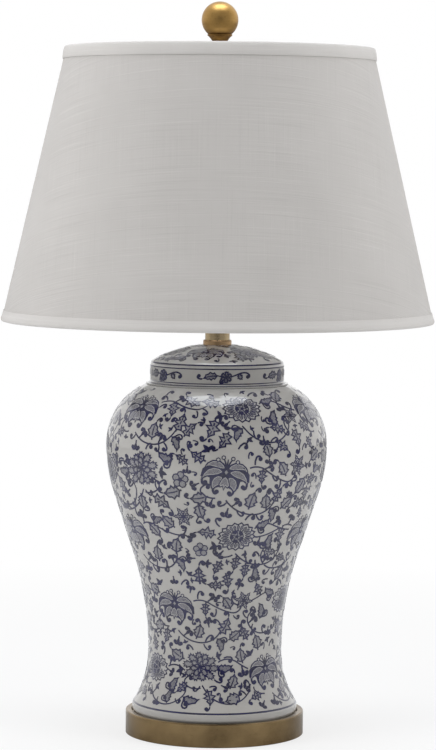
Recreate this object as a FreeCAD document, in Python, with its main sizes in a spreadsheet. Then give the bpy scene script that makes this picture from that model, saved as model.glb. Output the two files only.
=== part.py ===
import FreeCAD, Part
import math
import os
import Sketcher

# A table lamp made from a ginger jar: millimetres, +Z up, origin at the centre of the base's
# underside. The harp stands in the XZ plane, the switch faces the front (-Y), and the cord
# outlet is at the rear (+Y).

# Driving dimensions by alias. A height that ends in _level is measured from the table; every
# other height is measured from the foot of its own piece.
DIMENSIONS = {
    # spun brass base
    "base_radius": 89.6,
    "base_level": 0.6,
    "base_height": 23.2,
    "base_wall": 1.4,
    "base_edge_round": 1.3,
    "base_lip_width": 5.6,
    "base_recess_depth": 3.0,
    "base_flange_width": 6.0,
    "base_flange_height": 1.4,
    "felt_radius": 87.6,
    "felt_thickness": 2.0,
    "outlet_height": 10.0,
    "outlet_bore_radius": 3.3,
    "bushing_radius": 5.0,
    "bushing_flange_radius": 7.0,
    "bushing_flange_thickness": 1.4,
    "bushing_length": 6.4,
    "bushing_clearance": 0.05,
    # ceramic jar
    "seat_inner_radius": 60.0,
    "seat_outer_radius": 76.0,
    "seat_thickness": 1.0,
    "jar_wall": 5.5,
    "jar_foot_radius": 83.0,
    "jar_foot_round": 4.0,
    "jar_foot_crease_round": 3.0,
    "jar_foot_ring_radius": 66.0,
    "jar_foot_ring_height": 2.0,
    "jar_floor_height": 8.0,
    "jar_hole_radius": 7.0,
    "jar_waist_radius": 66.9,
    "jar_waist_height": 62.2,
    "jar_flare_curve": 96.0,
    "jar_taper_angle": 18.13,
    "jar_belly_radius": 110.53,
    "jar_belly_height": 271.0,
    "jar_belly_curve": 158.35,
    "jar_shoulder_curve": 65.5,
    "jar_shoulder_inner_curve": 57.0,
    "jar_ledge_height": 330.8,
    "jar_neck_radius": 61.0,
    "jar_neck_wall": 6.5,
    "jar_neck_height": 342.8,
    # ceramic lid
    "lid_level": 353.0,
    "lid_seat_thickness": 1.2,
    "lid_seat_inset": 1.0,
    "lid_brim_radius": 71.2,
    "lid_brim_thickness": 1.2,
    "lid_brim_cove": 4.0,
    "lid_collar_foot_height": 4.4,
    "lid_collar_radius": 67.0,
    "lid_collar_wall": 5.0,
    "lid_corner_round": 6.0,
    "lid_dome_curve": 136.7,
    "lid_dome_centre_depth": 96.45,
    "lid_dome_wall": 5.0,
    "lid_land_radius": 13.5,
    "lid_hole_radius": 5.6,
    # threaded rod and its fastenings
    "rod_level": 7.0,
    "rod_top_level": 432.5,
    "rod_radius": 5.0,
    "rod_bore_radius": 3.3,
    "rod_clearance": 0.2,
    "rod_washer_radius": 16.0,
    "rod_washer_thickness": 1.6,
    "nut_across_corners": 17.0,
    "nut_thickness": 5.0,
    "lock_nut_thickness": 3.0,
    # brass neck under the socket
    "cushion_radius": 11.0,
    "cushion_thickness": 0.8,
    "neck_ring_radius": 14.3,
    "neck_ring_height": 4.6,
    "neck_ring_round": 1.5,
    "neck_radius": 12.4,
    "neck_wall": 1.5,
    "neck_height": 24.3,
    "neck_land": 2.0,
    # harp saddle
    "saddle_span": 26.6,
    "saddle_thickness": 1.6,
    "saddle_width": 12.0,
    "saddle_bend": 4.5,
    "saddle_shoulder_height": 14.5,
    "saddle_tip_height": 25.5,
    "saddle_tip_width": 5.0,
    # harp, ferrules and stud
    "harp_wire_radius": 1.7,
    "harp_level": 438.0,
    "harp_foot_span": 28.6,
    "harp_foot_height": 27.0,
    "harp_half_width": 58.0,
    "harp_widest_height": 126.0,
    "harp_lower_bend": 62.0,
    "harp_top_height": 232.4,
    "harp_boss_radius": 6.0,
    "harp_boss_height": 3.6,
    "ferrule_span": 27.7,
    "ferrule_level": 436.2,
    "ferrule_bore_radius": 4.2,
    "ferrule_radius": 5.0,
    "ferrule_flare_radius": 5.6,
    "ferrule_length": 14.0,
    "stud_head_radius": 4.2,
    "stud_head_height": 1.4,
    "stud_shank_radius": 2.5,
    "stud_running_clearance": 0.05,
    "stud_end_play": 0.3,
    "stud_collar_radius": 6.0,
    "stud_collar_height": 3.8,
    "stud_thread_radius": 3.1,
    "stud_thread_height": 13.6,
    # socket
    "cap_hub_radius": 7.4,
    "cap_hub_height": 7.0,
    "cap_radius": 17.4,
    "cap_shoulder_height": 14.0,
    "cap_height": 19.6,
    "cap_wall": 0.8,
    "cap_curve": 12.0,
    "set_screw_radius": 1.5,
    "set_screw_length": 3.8,
    "set_screw_gap": 0.1,
    "set_screw_height": 3.4,
    "shell_level": 441.0,
    "shell_radius": 16.4,
    "shell_wall": 0.6,
    "shell_height": 39.0,
    "shell_bead_radius": 17.3,
    "shell_bead_height": 3.0,
    "shell_slot_width": 6.0,
    "shell_slot_height": 10.4,
    "sleeve_radius": 15.4,
    "sleeve_wall": 0.6,
    "sleeve_height": 37.6,
    "core_level": 442.0,
    "core_radius": 14.2,
    "core_height": 12.0,
    "core_stem_radius": 6.4,
    "screw_shell_radius": 13.9,
    "screw_shell_wall": 0.4,
    "screw_shell_height": 23.0,
    "contact_radius": 3.0,
    "contact_thickness": 0.8,
    "shaft_level": 448.0,
    "shaft_radius": 1.6,
    "shaft_clearance": 0.05,
    "shaft_inner_end": 3.0,
    "shaft_outer_end": 38.0,
    "shaft_bore_depth": 20.0,
    "knob_radius": 5.2,
    "knob_nose_radius": 4.4,
    "knob_inner_end": 21.0,
    "knob_outer_end": 39.0,
    "knob_flute_radius": 1.1,
    "knob_flute_count": 8,
    # bulb
    "bulb_level": 455.2,
    "bulb_contact_radius": 4.6,
    "bulb_contact_height": 1.2,
    "bulb_insulator_height": 3.6,
    "bulb_cap_radius": 13.1,
    "bulb_cap_height": 24.0,
    "bulb_neck_radius": 13.9,
    "bulb_neck_curve": 60.0,
    "bulb_globe_radius": 30.0,
    "bulb_glass_wall": 1.0,
    "bulb_height": 108.0,
    # shade
    "shade_level": 415.2,
    "shade_height": 273.4,
    "shade_foot_radius": 216.04,
    "shade_top_radius": 152.68,
    "shade_cover_thickness": 0.8,
    "shade_liner_thickness": 0.8,
    "shade_edge_inset": 1.1,
    "ring_wire_radius": 1.5,
    "bottom_ring_height": 3.6,
    "top_ring_drop": 3.0,
    "ring_clearance": 0.1,
    "trim_skin": 0.75,
    "trim_clearance": 0.12,
    "trim_edge": 1.0,
    "trim_edge_round": 2.4,
    "trim_inner_skin": 0.6,
    "trim_inner_height": 3.8,
    "bottom_trim_height": 10.8,
    "bottom_trim_radius": 216.6,
    "top_trim_height": 12.6,
    "top_trim_radius": 155.5,
    "spider_washer_radius": 12.7,
    "spider_washer_thickness": 2.0,
    "spider_hole_radius": 3.4,
    "spider_wire_radius": 1.7,
    "spider_arm_start": 11.6,
    "spider_bend_start": 116.0,
    "spider_bend": 60.0,
    "spider_arm_end": 151.0,
    "spider_weld": 0.2,
    "spider_arm_count": 3,
    # finial
    "finial_flange_radius": 9.4,
    "finial_flange_height": 2.4,
    "finial_waist_radius": 6.4,
    "finial_waist_height": 8.0,
    "finial_cup_radius": 11.8,
    "finial_cup_height": 22.0,
    "finial_cup_cove": 15.0,
    "finial_bead_radius": 12.3,
    "finial_bead_height": 1.7,
    "finial_ball_radius": 18.3,
    "finial_ball_height": 37.9,
    "finial_bore_radius": 3.3,
    "finial_bore_depth": 14.0,
}

LEFT = 1
RIGHT = -1
UPRIGHT = FreeCAD.Rotation()
REARWARD = FreeCAD.Rotation(FreeCAD.Vector(1, 0, 0), -90)
FORWARD = FreeCAD.Rotation(FreeCAD.Vector(1, 0, 0), 90)
SIDEWAYS = FreeCAD.Rotation(FreeCAD.Vector(0, 1, 0), 90)
QUARTER_TURN = FreeCAD.Rotation(FreeCAD.Vector(0, 0, 1), 90)
AXES = ("x", "y", "z")
LEAST_CUT = 1e-3


class Size:
    """A number together with the sheet formula that gives it, so that sums stay bound."""

    def __init__(self, value, formula):
        self.value = value
        self.formula = formula

    def __add__(self, other):
        other = as_size(other)
        return Size(self.value + other.value, f"({self.formula} + {other.formula})")

    def __sub__(self, other):
        other = as_size(other)
        return Size(self.value - other.value, f"({self.formula} - {other.formula})")

    def __mul__(self, other):
        other = as_size(other)
        return Size(self.value * other.value, f"({self.formula} * {other.formula})")

    def __truediv__(self, other):
        other = as_size(other)
        return Size(self.value / other.value, f"({self.formula} / {other.formula})")

    def __neg__(self):
        return Size(-self.value, f"(0 - {self.formula})")

    def __rsub__(self, other):
        return as_size(other) - self

    __radd__ = __add__
    __rmul__ = __mul__


def as_size(number):
    """The number as a Size."""
    return number if isinstance(number, Size) else Size(float(number), repr(float(number)))


def root(size):
    """The square root."""
    return Size(math.sqrt(size.value), f"sqrt({size.formula})")


def other_leg(hypotenuse, leg):
    """The second short side of a right triangle."""
    return root(hypotenuse * hypotenuse - leg * leg)


def sine(degrees):
    """The sine of an angle in degrees."""
    return Size(math.sin(math.radians(degrees.value)), f"sin({degrees.formula})")


def cosine(degrees):
    """The cosine of an angle in degrees."""
    return Size(math.cos(math.radians(degrees.value)), f"cos({degrees.formula})")


class Sheet:
    """The spreadsheet of driving dimensions, read as attributes."""

    def __init__(self, document, dimensions):
        self.cells = document.addObject("Spreadsheet::Sheet", "Sizes")
        for row, (alias, number) in enumerate(dimensions.items(), start=1):
            self.cells.set(f"A{row}", alias)
            self.cells.set(f"B{row}", str(number))
            self.cells.setAlias(f"B{row}", alias)
        document.recompute()

    def __getattr__(self, alias):
        return Size(float(self.cells.get(alias)), f"Sizes.{alias}")


doc = FreeCAD.newDocument("GingerJarLamp")
s = Sheet(doc, DIMENSIONS)
pieces = []


# ---------------------------------------------------------------- levels that pieces share

rod_hole = s.rod_radius + s.rod_clearance
recess_floor = s.base_height - s.base_recess_depth
seat_level = s.base_level + recess_floor
jar_level = seat_level + s.seat_thickness
lid_top_height = other_leg(s.lid_dome_curve, s.lid_land_radius) - s.lid_dome_centre_depth
neck_level = s.lid_level + lid_top_height
saddle_level = neck_level + s.neck_ring_height + s.neck_height
lock_nut_level = saddle_level + s.saddle_thickness
cap_level = lock_nut_level + s.lock_nut_thickness
boss_foot = s.harp_top_height - s.harp_boss_height / 2
stud_level = s.harp_level + boss_foot - s.stud_end_play - s.stud_head_height
stud_collar_foot = s.stud_head_height + s.stud_end_play + s.harp_boss_height
spider_level = stud_level + stud_collar_foot + s.stud_collar_height
shade_slope = (s.shade_foot_radius - s.shade_top_radius) / s.shade_height


# ---------------------------------------------------------------- sketches and features


def new_body(label):
    """An empty body that becomes one named piece."""
    body = doc.addObject("PartDesign::Body", label)
    body.Label = label
    pieces.append(body)
    return body


def origin_item(body, role):
    """One of the body's own origin planes or axes."""
    return next(item for item in body.Origin.OriginFeatures if item.Role == role)


def new_sketch(body, name, role="XZ_Plane", height=None):
    """A sketch on one of the body's origin planes, or lifted off it to a height."""
    sketch = body.newObject("Sketcher::SketchObject", f"{body.Name}_{name}")
    sketch.AttachmentSupport = [(origin_item(body, role), "")]
    sketch.MapMode = "FlatFace"
    if height is not None:
        sketch.AttachmentOffset = FreeCAD.Placement(FreeCAD.Vector(0, 0, height.value), UPRIGHT)
        sketch.setExpression(".AttachmentOffset.Base.z", height.formula)
    return sketch


def arc_between(start, end, radius, side):
    """The arc of less than half a turn between two points, and which of its ends is the start.

    side is LEFT or RIGHT: where the centre lies for someone who walks from start to end.
    """
    chord = end - start
    height = math.sqrt(max(radius ** 2 - (chord.Length / 2) ** 2, 0))
    across = FreeCAD.Vector(-chord.y, chord.x, 0).normalize() * height * side
    centre = start + chord * 0.5 + across
    circle = Part.Circle(centre, FreeCAD.Vector(0, 0, 1), radius)
    turns = [math.atan2(point.y - centre.y, point.x - centre.x) for point in (start, end)]
    if side == RIGHT:
        turns.reverse()
    return Part.ArcOfCircle(circle, *turns), (1, 2) if side == LEFT else (2, 1)


def pin_point(sketch, geometry, end, place):
    """Constraints that hold one end of an edge at a place, each coordinate bound to the sheet."""
    for kind, axis, size in (("DistanceX", -2, place[0]), ("DistanceY", -1, place[1])):
        if size.value == 0:
            sketch.addConstraint(Sketcher.Constraint("PointOnObject", geometry, end, axis))
            continue
        added = Sketcher.Constraint(kind, -1, 1, geometry, end, size.value)
        index = sketch.addConstraint(added)
        sketch.setExpression(f"Constraints[{index}]", size.formula)


def draw(sketch, points, closed=True):
    """Joins points in order and returns the names of the edges.

    A point is (x, y), or (x, y, radius, side) where an arc arrives.
    """
    places = [(as_size(point[0]), as_size(point[1])) for point in points]
    vectors = [FreeCAD.Vector(x.value, y.value, 0) for x, y in places]
    count = len(points)
    arrivals = list(range(1, count)) + ([0] if closed else [])
    ends = {}
    for arrival in arrivals:
        start, end = vectors[arrival - 1], vectors[arrival]
        if len(points[arrival]) == 4:
            radius, side = as_size(points[arrival][2]), points[arrival][3]
            edge, order = arc_between(start, end, radius.value, side)
            geometry = sketch.addGeometry(edge)
            index = sketch.addConstraint(Sketcher.Constraint("Radius", geometry, radius.value))
            sketch.setExpression(f"Constraints[{index}]", radius.formula)
        else:
            geometry = sketch.addGeometry(Part.LineSegment(start, end))
            order = (1, 2)
        ends[arrival] = (geometry, order)
    for number in range(count):
        arriving = ends.get(number)
        leaving = ends.get((number + 1) % count)
        if arriving and leaving:
            joint = (arriving[0], arriving[1][1], leaving[0], leaving[1][0])
            sketch.addConstraint(Sketcher.Constraint("Coincident", *joint))
        geometry, end = (leaving[0], leaving[1][0]) if leaving else (arriving[0], arriving[1][1])
        pin_point(sketch, geometry, end, places[number])
    return [f"Edge{number + 1}" for number in range(len(arrivals))]


def draw_circle(sketch, x, y, radius):
    """A circle with its centre and radius bound to the sheet."""
    x, y, radius = as_size(x), as_size(y), as_size(radius)
    centre = FreeCAD.Vector(x.value, y.value, 0)
    geometry = sketch.addGeometry(Part.Circle(centre, FreeCAD.Vector(0, 0, 1), radius.value))
    index = sketch.addConstraint(Sketcher.Constraint("Radius", geometry, radius.value))
    sketch.setExpression(f"Constraints[{index}]", radius.formula)
    pin_point(sketch, geometry, 3, (x, y))


def place(piece, x=0, y=0, z=0, rotation=UPRIGHT):
    """Puts a piece in the lamp, with its place bound to the sheet."""
    piece.Placement = FreeCAD.Placement(FreeCAD.Vector(0, 0, 0), rotation)
    for axis, distance in zip(AXES, (x, y, z)):
        distance = as_size(distance)
        if distance.value:
            piece.setExpression(f".Placement.Base.{axis}", distance.formula)


def revolve(body, points):
    """Turns a half section, given as (radius, height) points, about the body's own Z axis."""
    sketch = new_sketch(body, "section")
    draw(sketch, points)
    feature = body.newObject("PartDesign::Revolution", f"{body.Name}_turned")
    feature.Profile = sketch
    feature.ReferenceAxis = (sketch, ["V_Axis"])
    feature.Angle = 360
    return feature


def turned(label, points, **where):
    """A piece that is one turned section."""
    body = new_body(label)
    revolve(body, points)
    place(body, **where)
    return body


def tube(label, inner, outer, length, **where):
    """A plain ring or tube that stands on its own foot."""
    return turned(label, [(inner, 0), (outer, 0), (outer, length), (inner, length)], **where)


def cut(body, sketch, depth=None, reverse=False, both=False):
    """Cuts a sketch to a depth or right through the body, and fails if nothing is removed."""
    doc.recompute()
    before = body.Shape.Volume
    feature = body.newObject("PartDesign::Pocket", f"{sketch.Name}_cut")
    feature.Profile = sketch
    feature.Reversed = reverse
    if both:
        feature.SideType = "Symmetric"
    if depth is None:
        feature.Type = "ThroughAll"
    else:
        feature.Length = depth.value
        feature.setExpression("Length", depth.formula)
    doc.recompute()
    if body.Shape.Volume > before - LEAST_CUT:
        raise RuntimeError(f"{sketch.Name} cuts nothing")
    return feature


def bend_wire(body, section, path, edges):
    """Sweeps a wire's round section along the drawn path."""
    wire = body.newObject("PartDesign::AdditivePipe", f"{body.Name}_wire")
    wire.Profile = section
    wire.Spine = (path, edges)
    doc.recompute()
    return wire


def ring_of(body, feature, axis, count):
    """Repeats a feature in a full circle about an axis."""
    ring = body.newObject("PartDesign::PolarPattern", f"{body.Name}_ring")
    ring.Originals = [feature]
    ring.Axis = axis
    ring.Angle = 360
    ring.setExpression("Occurrences", count.formula)
    body.Tip = ring


def hex_nut(label, thickness, level):
    """A hexagon nut for the lamp rod."""
    hexagon = doc.addObject("Part::Prism", f"{label}_hexagon")
    hexagon.Polygon = 6
    hexagon.setExpression("Circumradius", (s.nut_across_corners / 2).formula)
    hexagon.setExpression("Height", thickness.formula)
    bore = doc.addObject("Part::Cylinder", f"{label}_bore")
    bore.setExpression("Radius", (s.rod_radius + s.rod_clearance).formula)
    bore.setExpression("Height", thickness.formula)
    nut = doc.addObject("Part::Cut", label)
    nut.Label = label
    nut.Base = hexagon
    nut.Tool = bore
    place(nut, z=level)
    pieces.append(nut)


# ---------------------------------------------------------------- base


def make_felt_pad():
    """The felt disc glued up inside the base, which stands a little below the brass edge."""
    turned("felt_pad", [(0, 0), (s.felt_radius, 0), (s.felt_radius, s.felt_thickness),
                        (0, s.felt_thickness)])


def make_base_cup():
    """A spun drum: rolled top lip, sunken floor for the jar and a flange turned in for the felt."""
    body = new_body("base_cup")
    base_top = s.base_height
    inner_wall = s.base_radius - s.base_wall
    lip_inner = s.base_radius - s.base_lip_width
    step_outer = lip_inner + s.base_wall
    floor_under = recess_floor - s.base_wall
    flange_inner = inner_wall - s.base_flange_width
    flange_top = s.base_flange_height + s.base_wall
    revolve(body, [
        (s.base_radius, 0),
        (s.base_radius, base_top - s.base_edge_round),
        (s.base_radius - s.base_edge_round, base_top, s.base_edge_round, LEFT),
        (lip_inner, base_top),
        (lip_inner, recess_floor),
        (rod_hole, recess_floor),
        (rod_hole, floor_under),
        (step_outer, floor_under),
        (step_outer, base_top - s.base_wall),
        (inner_wall, base_top - s.base_wall),
        (inner_wall, flange_top),
        (flange_inner, flange_top),
        (flange_inner, s.base_flange_height),
        (inner_wall, s.base_flange_height),
        (inner_wall, 0),
    ])
    outlet = new_sketch(body, "outlet")
    draw_circle(outlet, 0, s.outlet_height, s.bushing_radius + s.rod_clearance)
    cut(body, outlet)
    place(body, z=s.base_level)


def make_cord_bushing():
    """The grommet in the rear wall that a supply lead passes through."""
    flange_foot = s.bushing_length - s.bushing_flange_thickness
    turned("cord_bushing", [
        (s.outlet_bore_radius, 0),
        (s.bushing_radius, 0),
        (s.bushing_radius, flange_foot),
        (s.bushing_flange_radius, flange_foot),
        (s.bushing_flange_radius, s.bushing_length),
        (s.outlet_bore_radius, s.bushing_length),
    ], y=s.base_radius + s.bushing_clearance - flange_foot,
        z=s.base_level + s.outlet_height, rotation=REARWARD)


# ---------------------------------------------------------------- jar and lid


def make_jar_body():
    """The baluster jar: flared foot, waist, long taper, full belly, round shoulder, upright neck."""
    body = new_body("jar_body")
    sin_taper, cos_taper = sine(s.jar_taper_angle), cosine(s.jar_taper_angle)
    # outside: the foot's upright band rounds over, tangent to it and to the flare
    flare_centre = s.jar_waist_radius + s.jar_flare_curve
    crease = s.jar_foot_crease_round
    crease_centre = (s.jar_foot_radius - crease, s.jar_waist_height - other_leg(
        s.jar_flare_curve + crease, flare_centre - s.jar_foot_radius + crease))
    share = crease / (s.jar_flare_curve + crease)
    flare_foot = (crease_centre[0] + (flare_centre - crease_centre[0]) * share,
                  crease_centre[1] + (s.jar_waist_height - crease_centre[1]) * share)
    # the straight taper is tangent to the belly above and to the hollow curve below
    taper_top = (s.jar_belly_radius - s.jar_belly_curve * (1 - cos_taper),
                 s.jar_belly_height - s.jar_belly_curve * sin_taper)
    slope = sin_taper / cos_taper
    hollow_curve = (
        taper_top[0] - s.jar_waist_radius - slope * (taper_top[1] - s.jar_waist_height)
    ) / ((1 - cos_taper) - slope * sin_taper)
    taper_foot = (s.jar_waist_radius + hollow_curve * (1 - cos_taper),
                  s.jar_waist_height + hollow_curve * sin_taper)
    shoulder_centre = s.jar_belly_radius - s.jar_shoulder_curve
    ledge_radius = shoulder_centre + other_leg(
        s.jar_shoulder_curve, s.jar_ledge_height - s.jar_belly_height)
    # inside: the same curves, one wall in
    inner_flare = s.jar_flare_curve + s.jar_wall
    cavity_radius = flare_centre - other_leg(
        inner_flare, s.jar_waist_height - s.jar_floor_height)
    inner_belly = s.jar_belly_radius - s.jar_wall
    neck_bore = s.jar_neck_radius - s.jar_neck_wall
    neck_root = s.jar_belly_height + other_leg(
        s.jar_shoulder_inner_curve,
        neck_bore - (inner_belly - s.jar_shoulder_inner_curve))

    def one_wall_in(point):
        return point[0] - s.jar_wall * cos_taper, point[1] + s.jar_wall * sin_taper

    revolve(body, [
        (s.jar_hole_radius, s.jar_foot_ring_height),
        (s.jar_foot_ring_radius, s.jar_foot_ring_height),
        (s.jar_foot_ring_radius, 0),
        (s.jar_foot_radius - s.jar_foot_round, 0),
        (s.jar_foot_radius, s.jar_foot_round, s.jar_foot_round, LEFT),
        (s.jar_foot_radius, crease_centre[1]),
        (*flare_foot, crease, LEFT),
        (s.jar_waist_radius, s.jar_waist_height, s.jar_flare_curve, RIGHT),
        (*taper_foot, hollow_curve, RIGHT),
        taper_top,
        (s.jar_belly_radius, s.jar_belly_height, s.jar_belly_curve, LEFT),
        (ledge_radius, s.jar_ledge_height, s.jar_shoulder_curve, LEFT),
        (s.jar_neck_radius, s.jar_ledge_height),
        (s.jar_neck_radius, s.jar_neck_height),
        (neck_bore, s.jar_neck_height),
        (neck_bore, neck_root),
        (inner_belly, s.jar_belly_height, s.jar_shoulder_inner_curve, RIGHT),
        (*one_wall_in(taper_top), s.jar_belly_curve - s.jar_wall, RIGHT),
        one_wall_in(taper_foot),
        (s.jar_waist_radius - s.jar_wall, s.jar_waist_height,
         hollow_curve + s.jar_wall, LEFT),
        (cavity_radius, s.jar_floor_height, inner_flare, LEFT),
        (s.jar_hole_radius, s.jar_floor_height),
    ])
    place(body, z=jar_level)


def make_lid():
    """A domed cap with an upright collar and a small brim, hollow over the jar's neck."""
    dome, depth = s.lid_dome_curve, s.lid_dome_centre_depth
    corner = s.lid_corner_round
    # the corner's round is tangent to the collar and to the dome
    corner_rise = other_leg(dome - corner, s.lid_collar_radius - corner)
    stretch = dome / (dome - corner)
    dome_foot = ((s.lid_collar_radius - corner) * stretch, corner_rise * stretch - depth)
    inner_dome = dome - s.lid_dome_wall
    bore = s.lid_collar_radius - s.lid_collar_wall
    step_height = jar_level + s.jar_neck_height + s.lid_seat_thickness - s.lid_level
    throat = s.jar_neck_radius - s.jar_neck_wall
    turned("lid", [
        (bore, 0),
        (s.lid_brim_radius, 0),
        (s.lid_brim_radius, s.lid_brim_thickness),
        (s.lid_collar_radius, s.lid_collar_foot_height, s.lid_brim_cove, RIGHT),
        (s.lid_collar_radius, corner_rise - depth),
        (*dome_foot, corner, LEFT),
        (s.lid_land_radius, lid_top_height, dome, LEFT),
        (s.lid_hole_radius, lid_top_height),
        (s.lid_hole_radius, other_leg(inner_dome, s.lid_hole_radius) - depth),
        (throat, other_leg(inner_dome, throat) - depth, inner_dome, RIGHT),
        (throat, step_height),
        (bore, step_height),
    ], z=s.lid_level)


def make_jar_parts():
    """The jar and its lid, each on its rubber seat."""
    tube("jar_seat_washer", s.seat_inner_radius, s.seat_outer_radius, s.seat_thickness,
         z=seat_level)
    make_jar_body()
    tube("lid_seat_ring", s.jar_neck_radius - s.jar_neck_wall + s.lid_seat_inset,
         s.jar_neck_radius - s.lid_seat_inset, s.lid_seat_thickness,
         z=jar_level + s.jar_neck_height)
    make_lid()


# ---------------------------------------------------------------- rod and brass neck


def make_rod_parts():
    """The hollow rod that ties base, jar, lid and neck together, with its nuts and washer."""
    rod_washer_level = seat_level - s.base_wall - s.rod_washer_thickness
    tube("threaded_rod", s.rod_bore_radius, s.rod_radius, s.rod_top_level - s.rod_level,
         z=s.rod_level)
    tube("rod_washer", rod_hole, s.rod_washer_radius, s.rod_washer_thickness,
         z=rod_washer_level)
    hex_nut("rod_nut", s.nut_thickness, rod_washer_level - s.nut_thickness)
    hex_nut("lock_nut", s.lock_nut_thickness, lock_nut_level)


def make_neck_parts():
    """The collar ring and the tube that lift the socket clear of the lid."""
    tube("cushion_washer", rod_hole, s.cushion_radius, s.cushion_thickness, z=neck_level)
    recess = s.cushion_radius + s.rod_clearance
    ring_top = s.neck_ring_height
    turned("neck_ring", [
        (recess, 0),
        (s.neck_ring_radius, 0),
        (s.neck_ring_radius, ring_top - s.neck_ring_round),
        (s.neck_ring_radius - s.neck_ring_round, ring_top, s.neck_ring_round, LEFT),
        (rod_hole, ring_top),
        (rod_hole, s.cushion_thickness),
        (recess, s.cushion_thickness),
    ], z=neck_level)
    neck_bore = s.neck_radius - s.neck_wall
    turned("neck_tube", [
        (neck_bore, 0),
        (s.neck_radius, 0),
        (s.neck_radius, s.neck_height),
        (rod_hole, s.neck_height),
        (rod_hole, s.neck_height - s.neck_land),
        (neck_bore, s.neck_height - s.neck_land),
    ], z=neck_level + s.neck_ring_height)


# ---------------------------------------------------------------- harp


def make_harp_saddle():
    """A pressed strip with two upturned arms, narrowed at the tips to take the harp."""
    body = new_body("harp_saddle")
    outer, gauge, bend = s.saddle_span, s.saddle_thickness, s.saddle_bend
    inner = outer - gauge
    strip = new_sketch(body, "strip")
    draw(strip, [
        (-outer, s.saddle_tip_height),
        (-outer, bend),
        (-(outer - bend), 0, bend, LEFT),
        (outer - bend, 0),
        (outer, bend, bend, LEFT),
        (outer, s.saddle_tip_height),
        (inner, s.saddle_tip_height),
        (inner, bend),
        (outer - bend, gauge, bend - gauge, RIGHT),
        (-(outer - bend), gauge),
        (-inner, bend, bend - gauge, RIGHT),
        (-inner, s.saddle_tip_height),
    ])
    pad = body.newObject("PartDesign::Pad", "harp_saddle_strip_pad")
    pad.Profile = strip
    pad.SideType = "Symmetric"
    pad.setExpression("Length", s.saddle_width.formula)
    for side, name in ((1, "front"), (-1, "rear")):
        notch = new_sketch(body, f"{name}_shoulder", "YZ_Plane")
        near, far = side * s.saddle_tip_width / 2, side * s.saddle_width
        low, high = s.saddle_shoulder_height, s.saddle_tip_height + gauge
        draw(notch, [(near, low), (far, low), (far, high), (near, high)])
        cut(body, notch, both=True)
    hole = new_sketch(body, "rod_hole", "XY_Plane")
    draw_circle(hole, 0, 0, rod_hole)
    cut(body, hole, both=True)
    place(body, z=saddle_level)


def make_harp():
    """One wire bent to a lyre, with a boss at its crown that holds the swivelling stud."""
    body = new_body("harp")
    foot, wide = s.harp_foot_span, s.harp_half_width
    low, high = s.harp_foot_height, s.harp_widest_height
    # two arcs swing the wire out from the foot to its widest, and meet in a common tangent
    swing, rise = wide - foot, high - low
    both_bends = (swing * swing + rise * rise) / (2 * swing)
    share = s.harp_lower_bend / both_bends
    turn = (foot + swing * share, low + rise * share)
    upper_bend = both_bends - s.harp_lower_bend
    crown_foot = s.harp_top_height - wide
    section = new_sketch(body, "section", "XY_Plane")
    draw_circle(section, -foot, 0, s.harp_wire_radius)
    path = new_sketch(body, "path")
    edges = draw(path, [
        (-foot, 0),
        (-foot, low),
        (-turn[0], turn[1], s.harp_lower_bend, LEFT),
        (-wide, high, upper_bend, RIGHT),
        (-wide, crown_foot),
        (0, s.harp_top_height, wide, RIGHT),
        (wide, crown_foot, wide, RIGHT),
        (wide, high),
        (*turn, upper_bend, RIGHT),
        (foot, low, s.harp_lower_bend, LEFT),
        (foot, 0),
    ], closed=False)
    bend_wire(body, section, path, edges)
    boss = new_sketch(body, "boss", "XY_Plane", boss_foot)
    draw_circle(boss, 0, 0, s.harp_boss_radius)
    crown = body.newObject("PartDesign::Pad", "harp_crown_boss")
    crown.Profile = boss
    crown.setExpression("Length", s.harp_boss_height.formula)
    bore = new_sketch(body, "stud_bore", "XY_Plane", boss_foot)
    draw_circle(bore, 0, 0, s.stud_shank_radius + s.stud_running_clearance)
    cut(body, bore, both=True)
    place(body, z=s.harp_level)


def make_harp_stud():
    """The swivel stud: a clinched head, a shank that turns in the boss, a collar and a thread."""
    head, collar = s.stud_head_height, stud_collar_foot
    collar_top = collar + s.stud_collar_height
    turned("harp_stud", [
        (0, 0),
        (s.stud_head_radius, 0),
        (s.stud_head_radius, head),
        (s.stud_shank_radius, head),
        (s.stud_shank_radius, collar),
        (s.stud_collar_radius, collar),
        (s.stud_collar_radius, collar_top),
        (s.stud_thread_radius, collar_top),
        (s.stud_thread_radius, collar_top + s.stud_thread_height),
        (0, collar_top + s.stud_thread_height),
    ], z=stud_level)


def make_ferrule(label, side):
    """A sleeve that slides down over a saddle tip and a harp foot, with a flared mouth."""
    flare_height = s.ferrule_flare_radius - s.ferrule_radius
    turned(label, [
        (s.ferrule_bore_radius, 0),
        (s.ferrule_flare_radius, 0),
        (s.ferrule_flare_radius, flare_height),
        (s.ferrule_radius, 2 * flare_height),
        (s.ferrule_radius, s.ferrule_length),
        (s.ferrule_bore_radius, s.ferrule_length),
    ], x=side * s.ferrule_span, z=s.ferrule_level)


def make_harp_parts():
    """The saddle on the rod, the harp with the sleeves that lock it, and the stud at its crown."""
    make_harp_saddle()
    make_harp()
    make_ferrule("harp_ferrule_left", -1)
    make_ferrule("harp_ferrule_right", 1)
    make_harp_stud()


# ---------------------------------------------------------------- socket, switch and bulb


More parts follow.
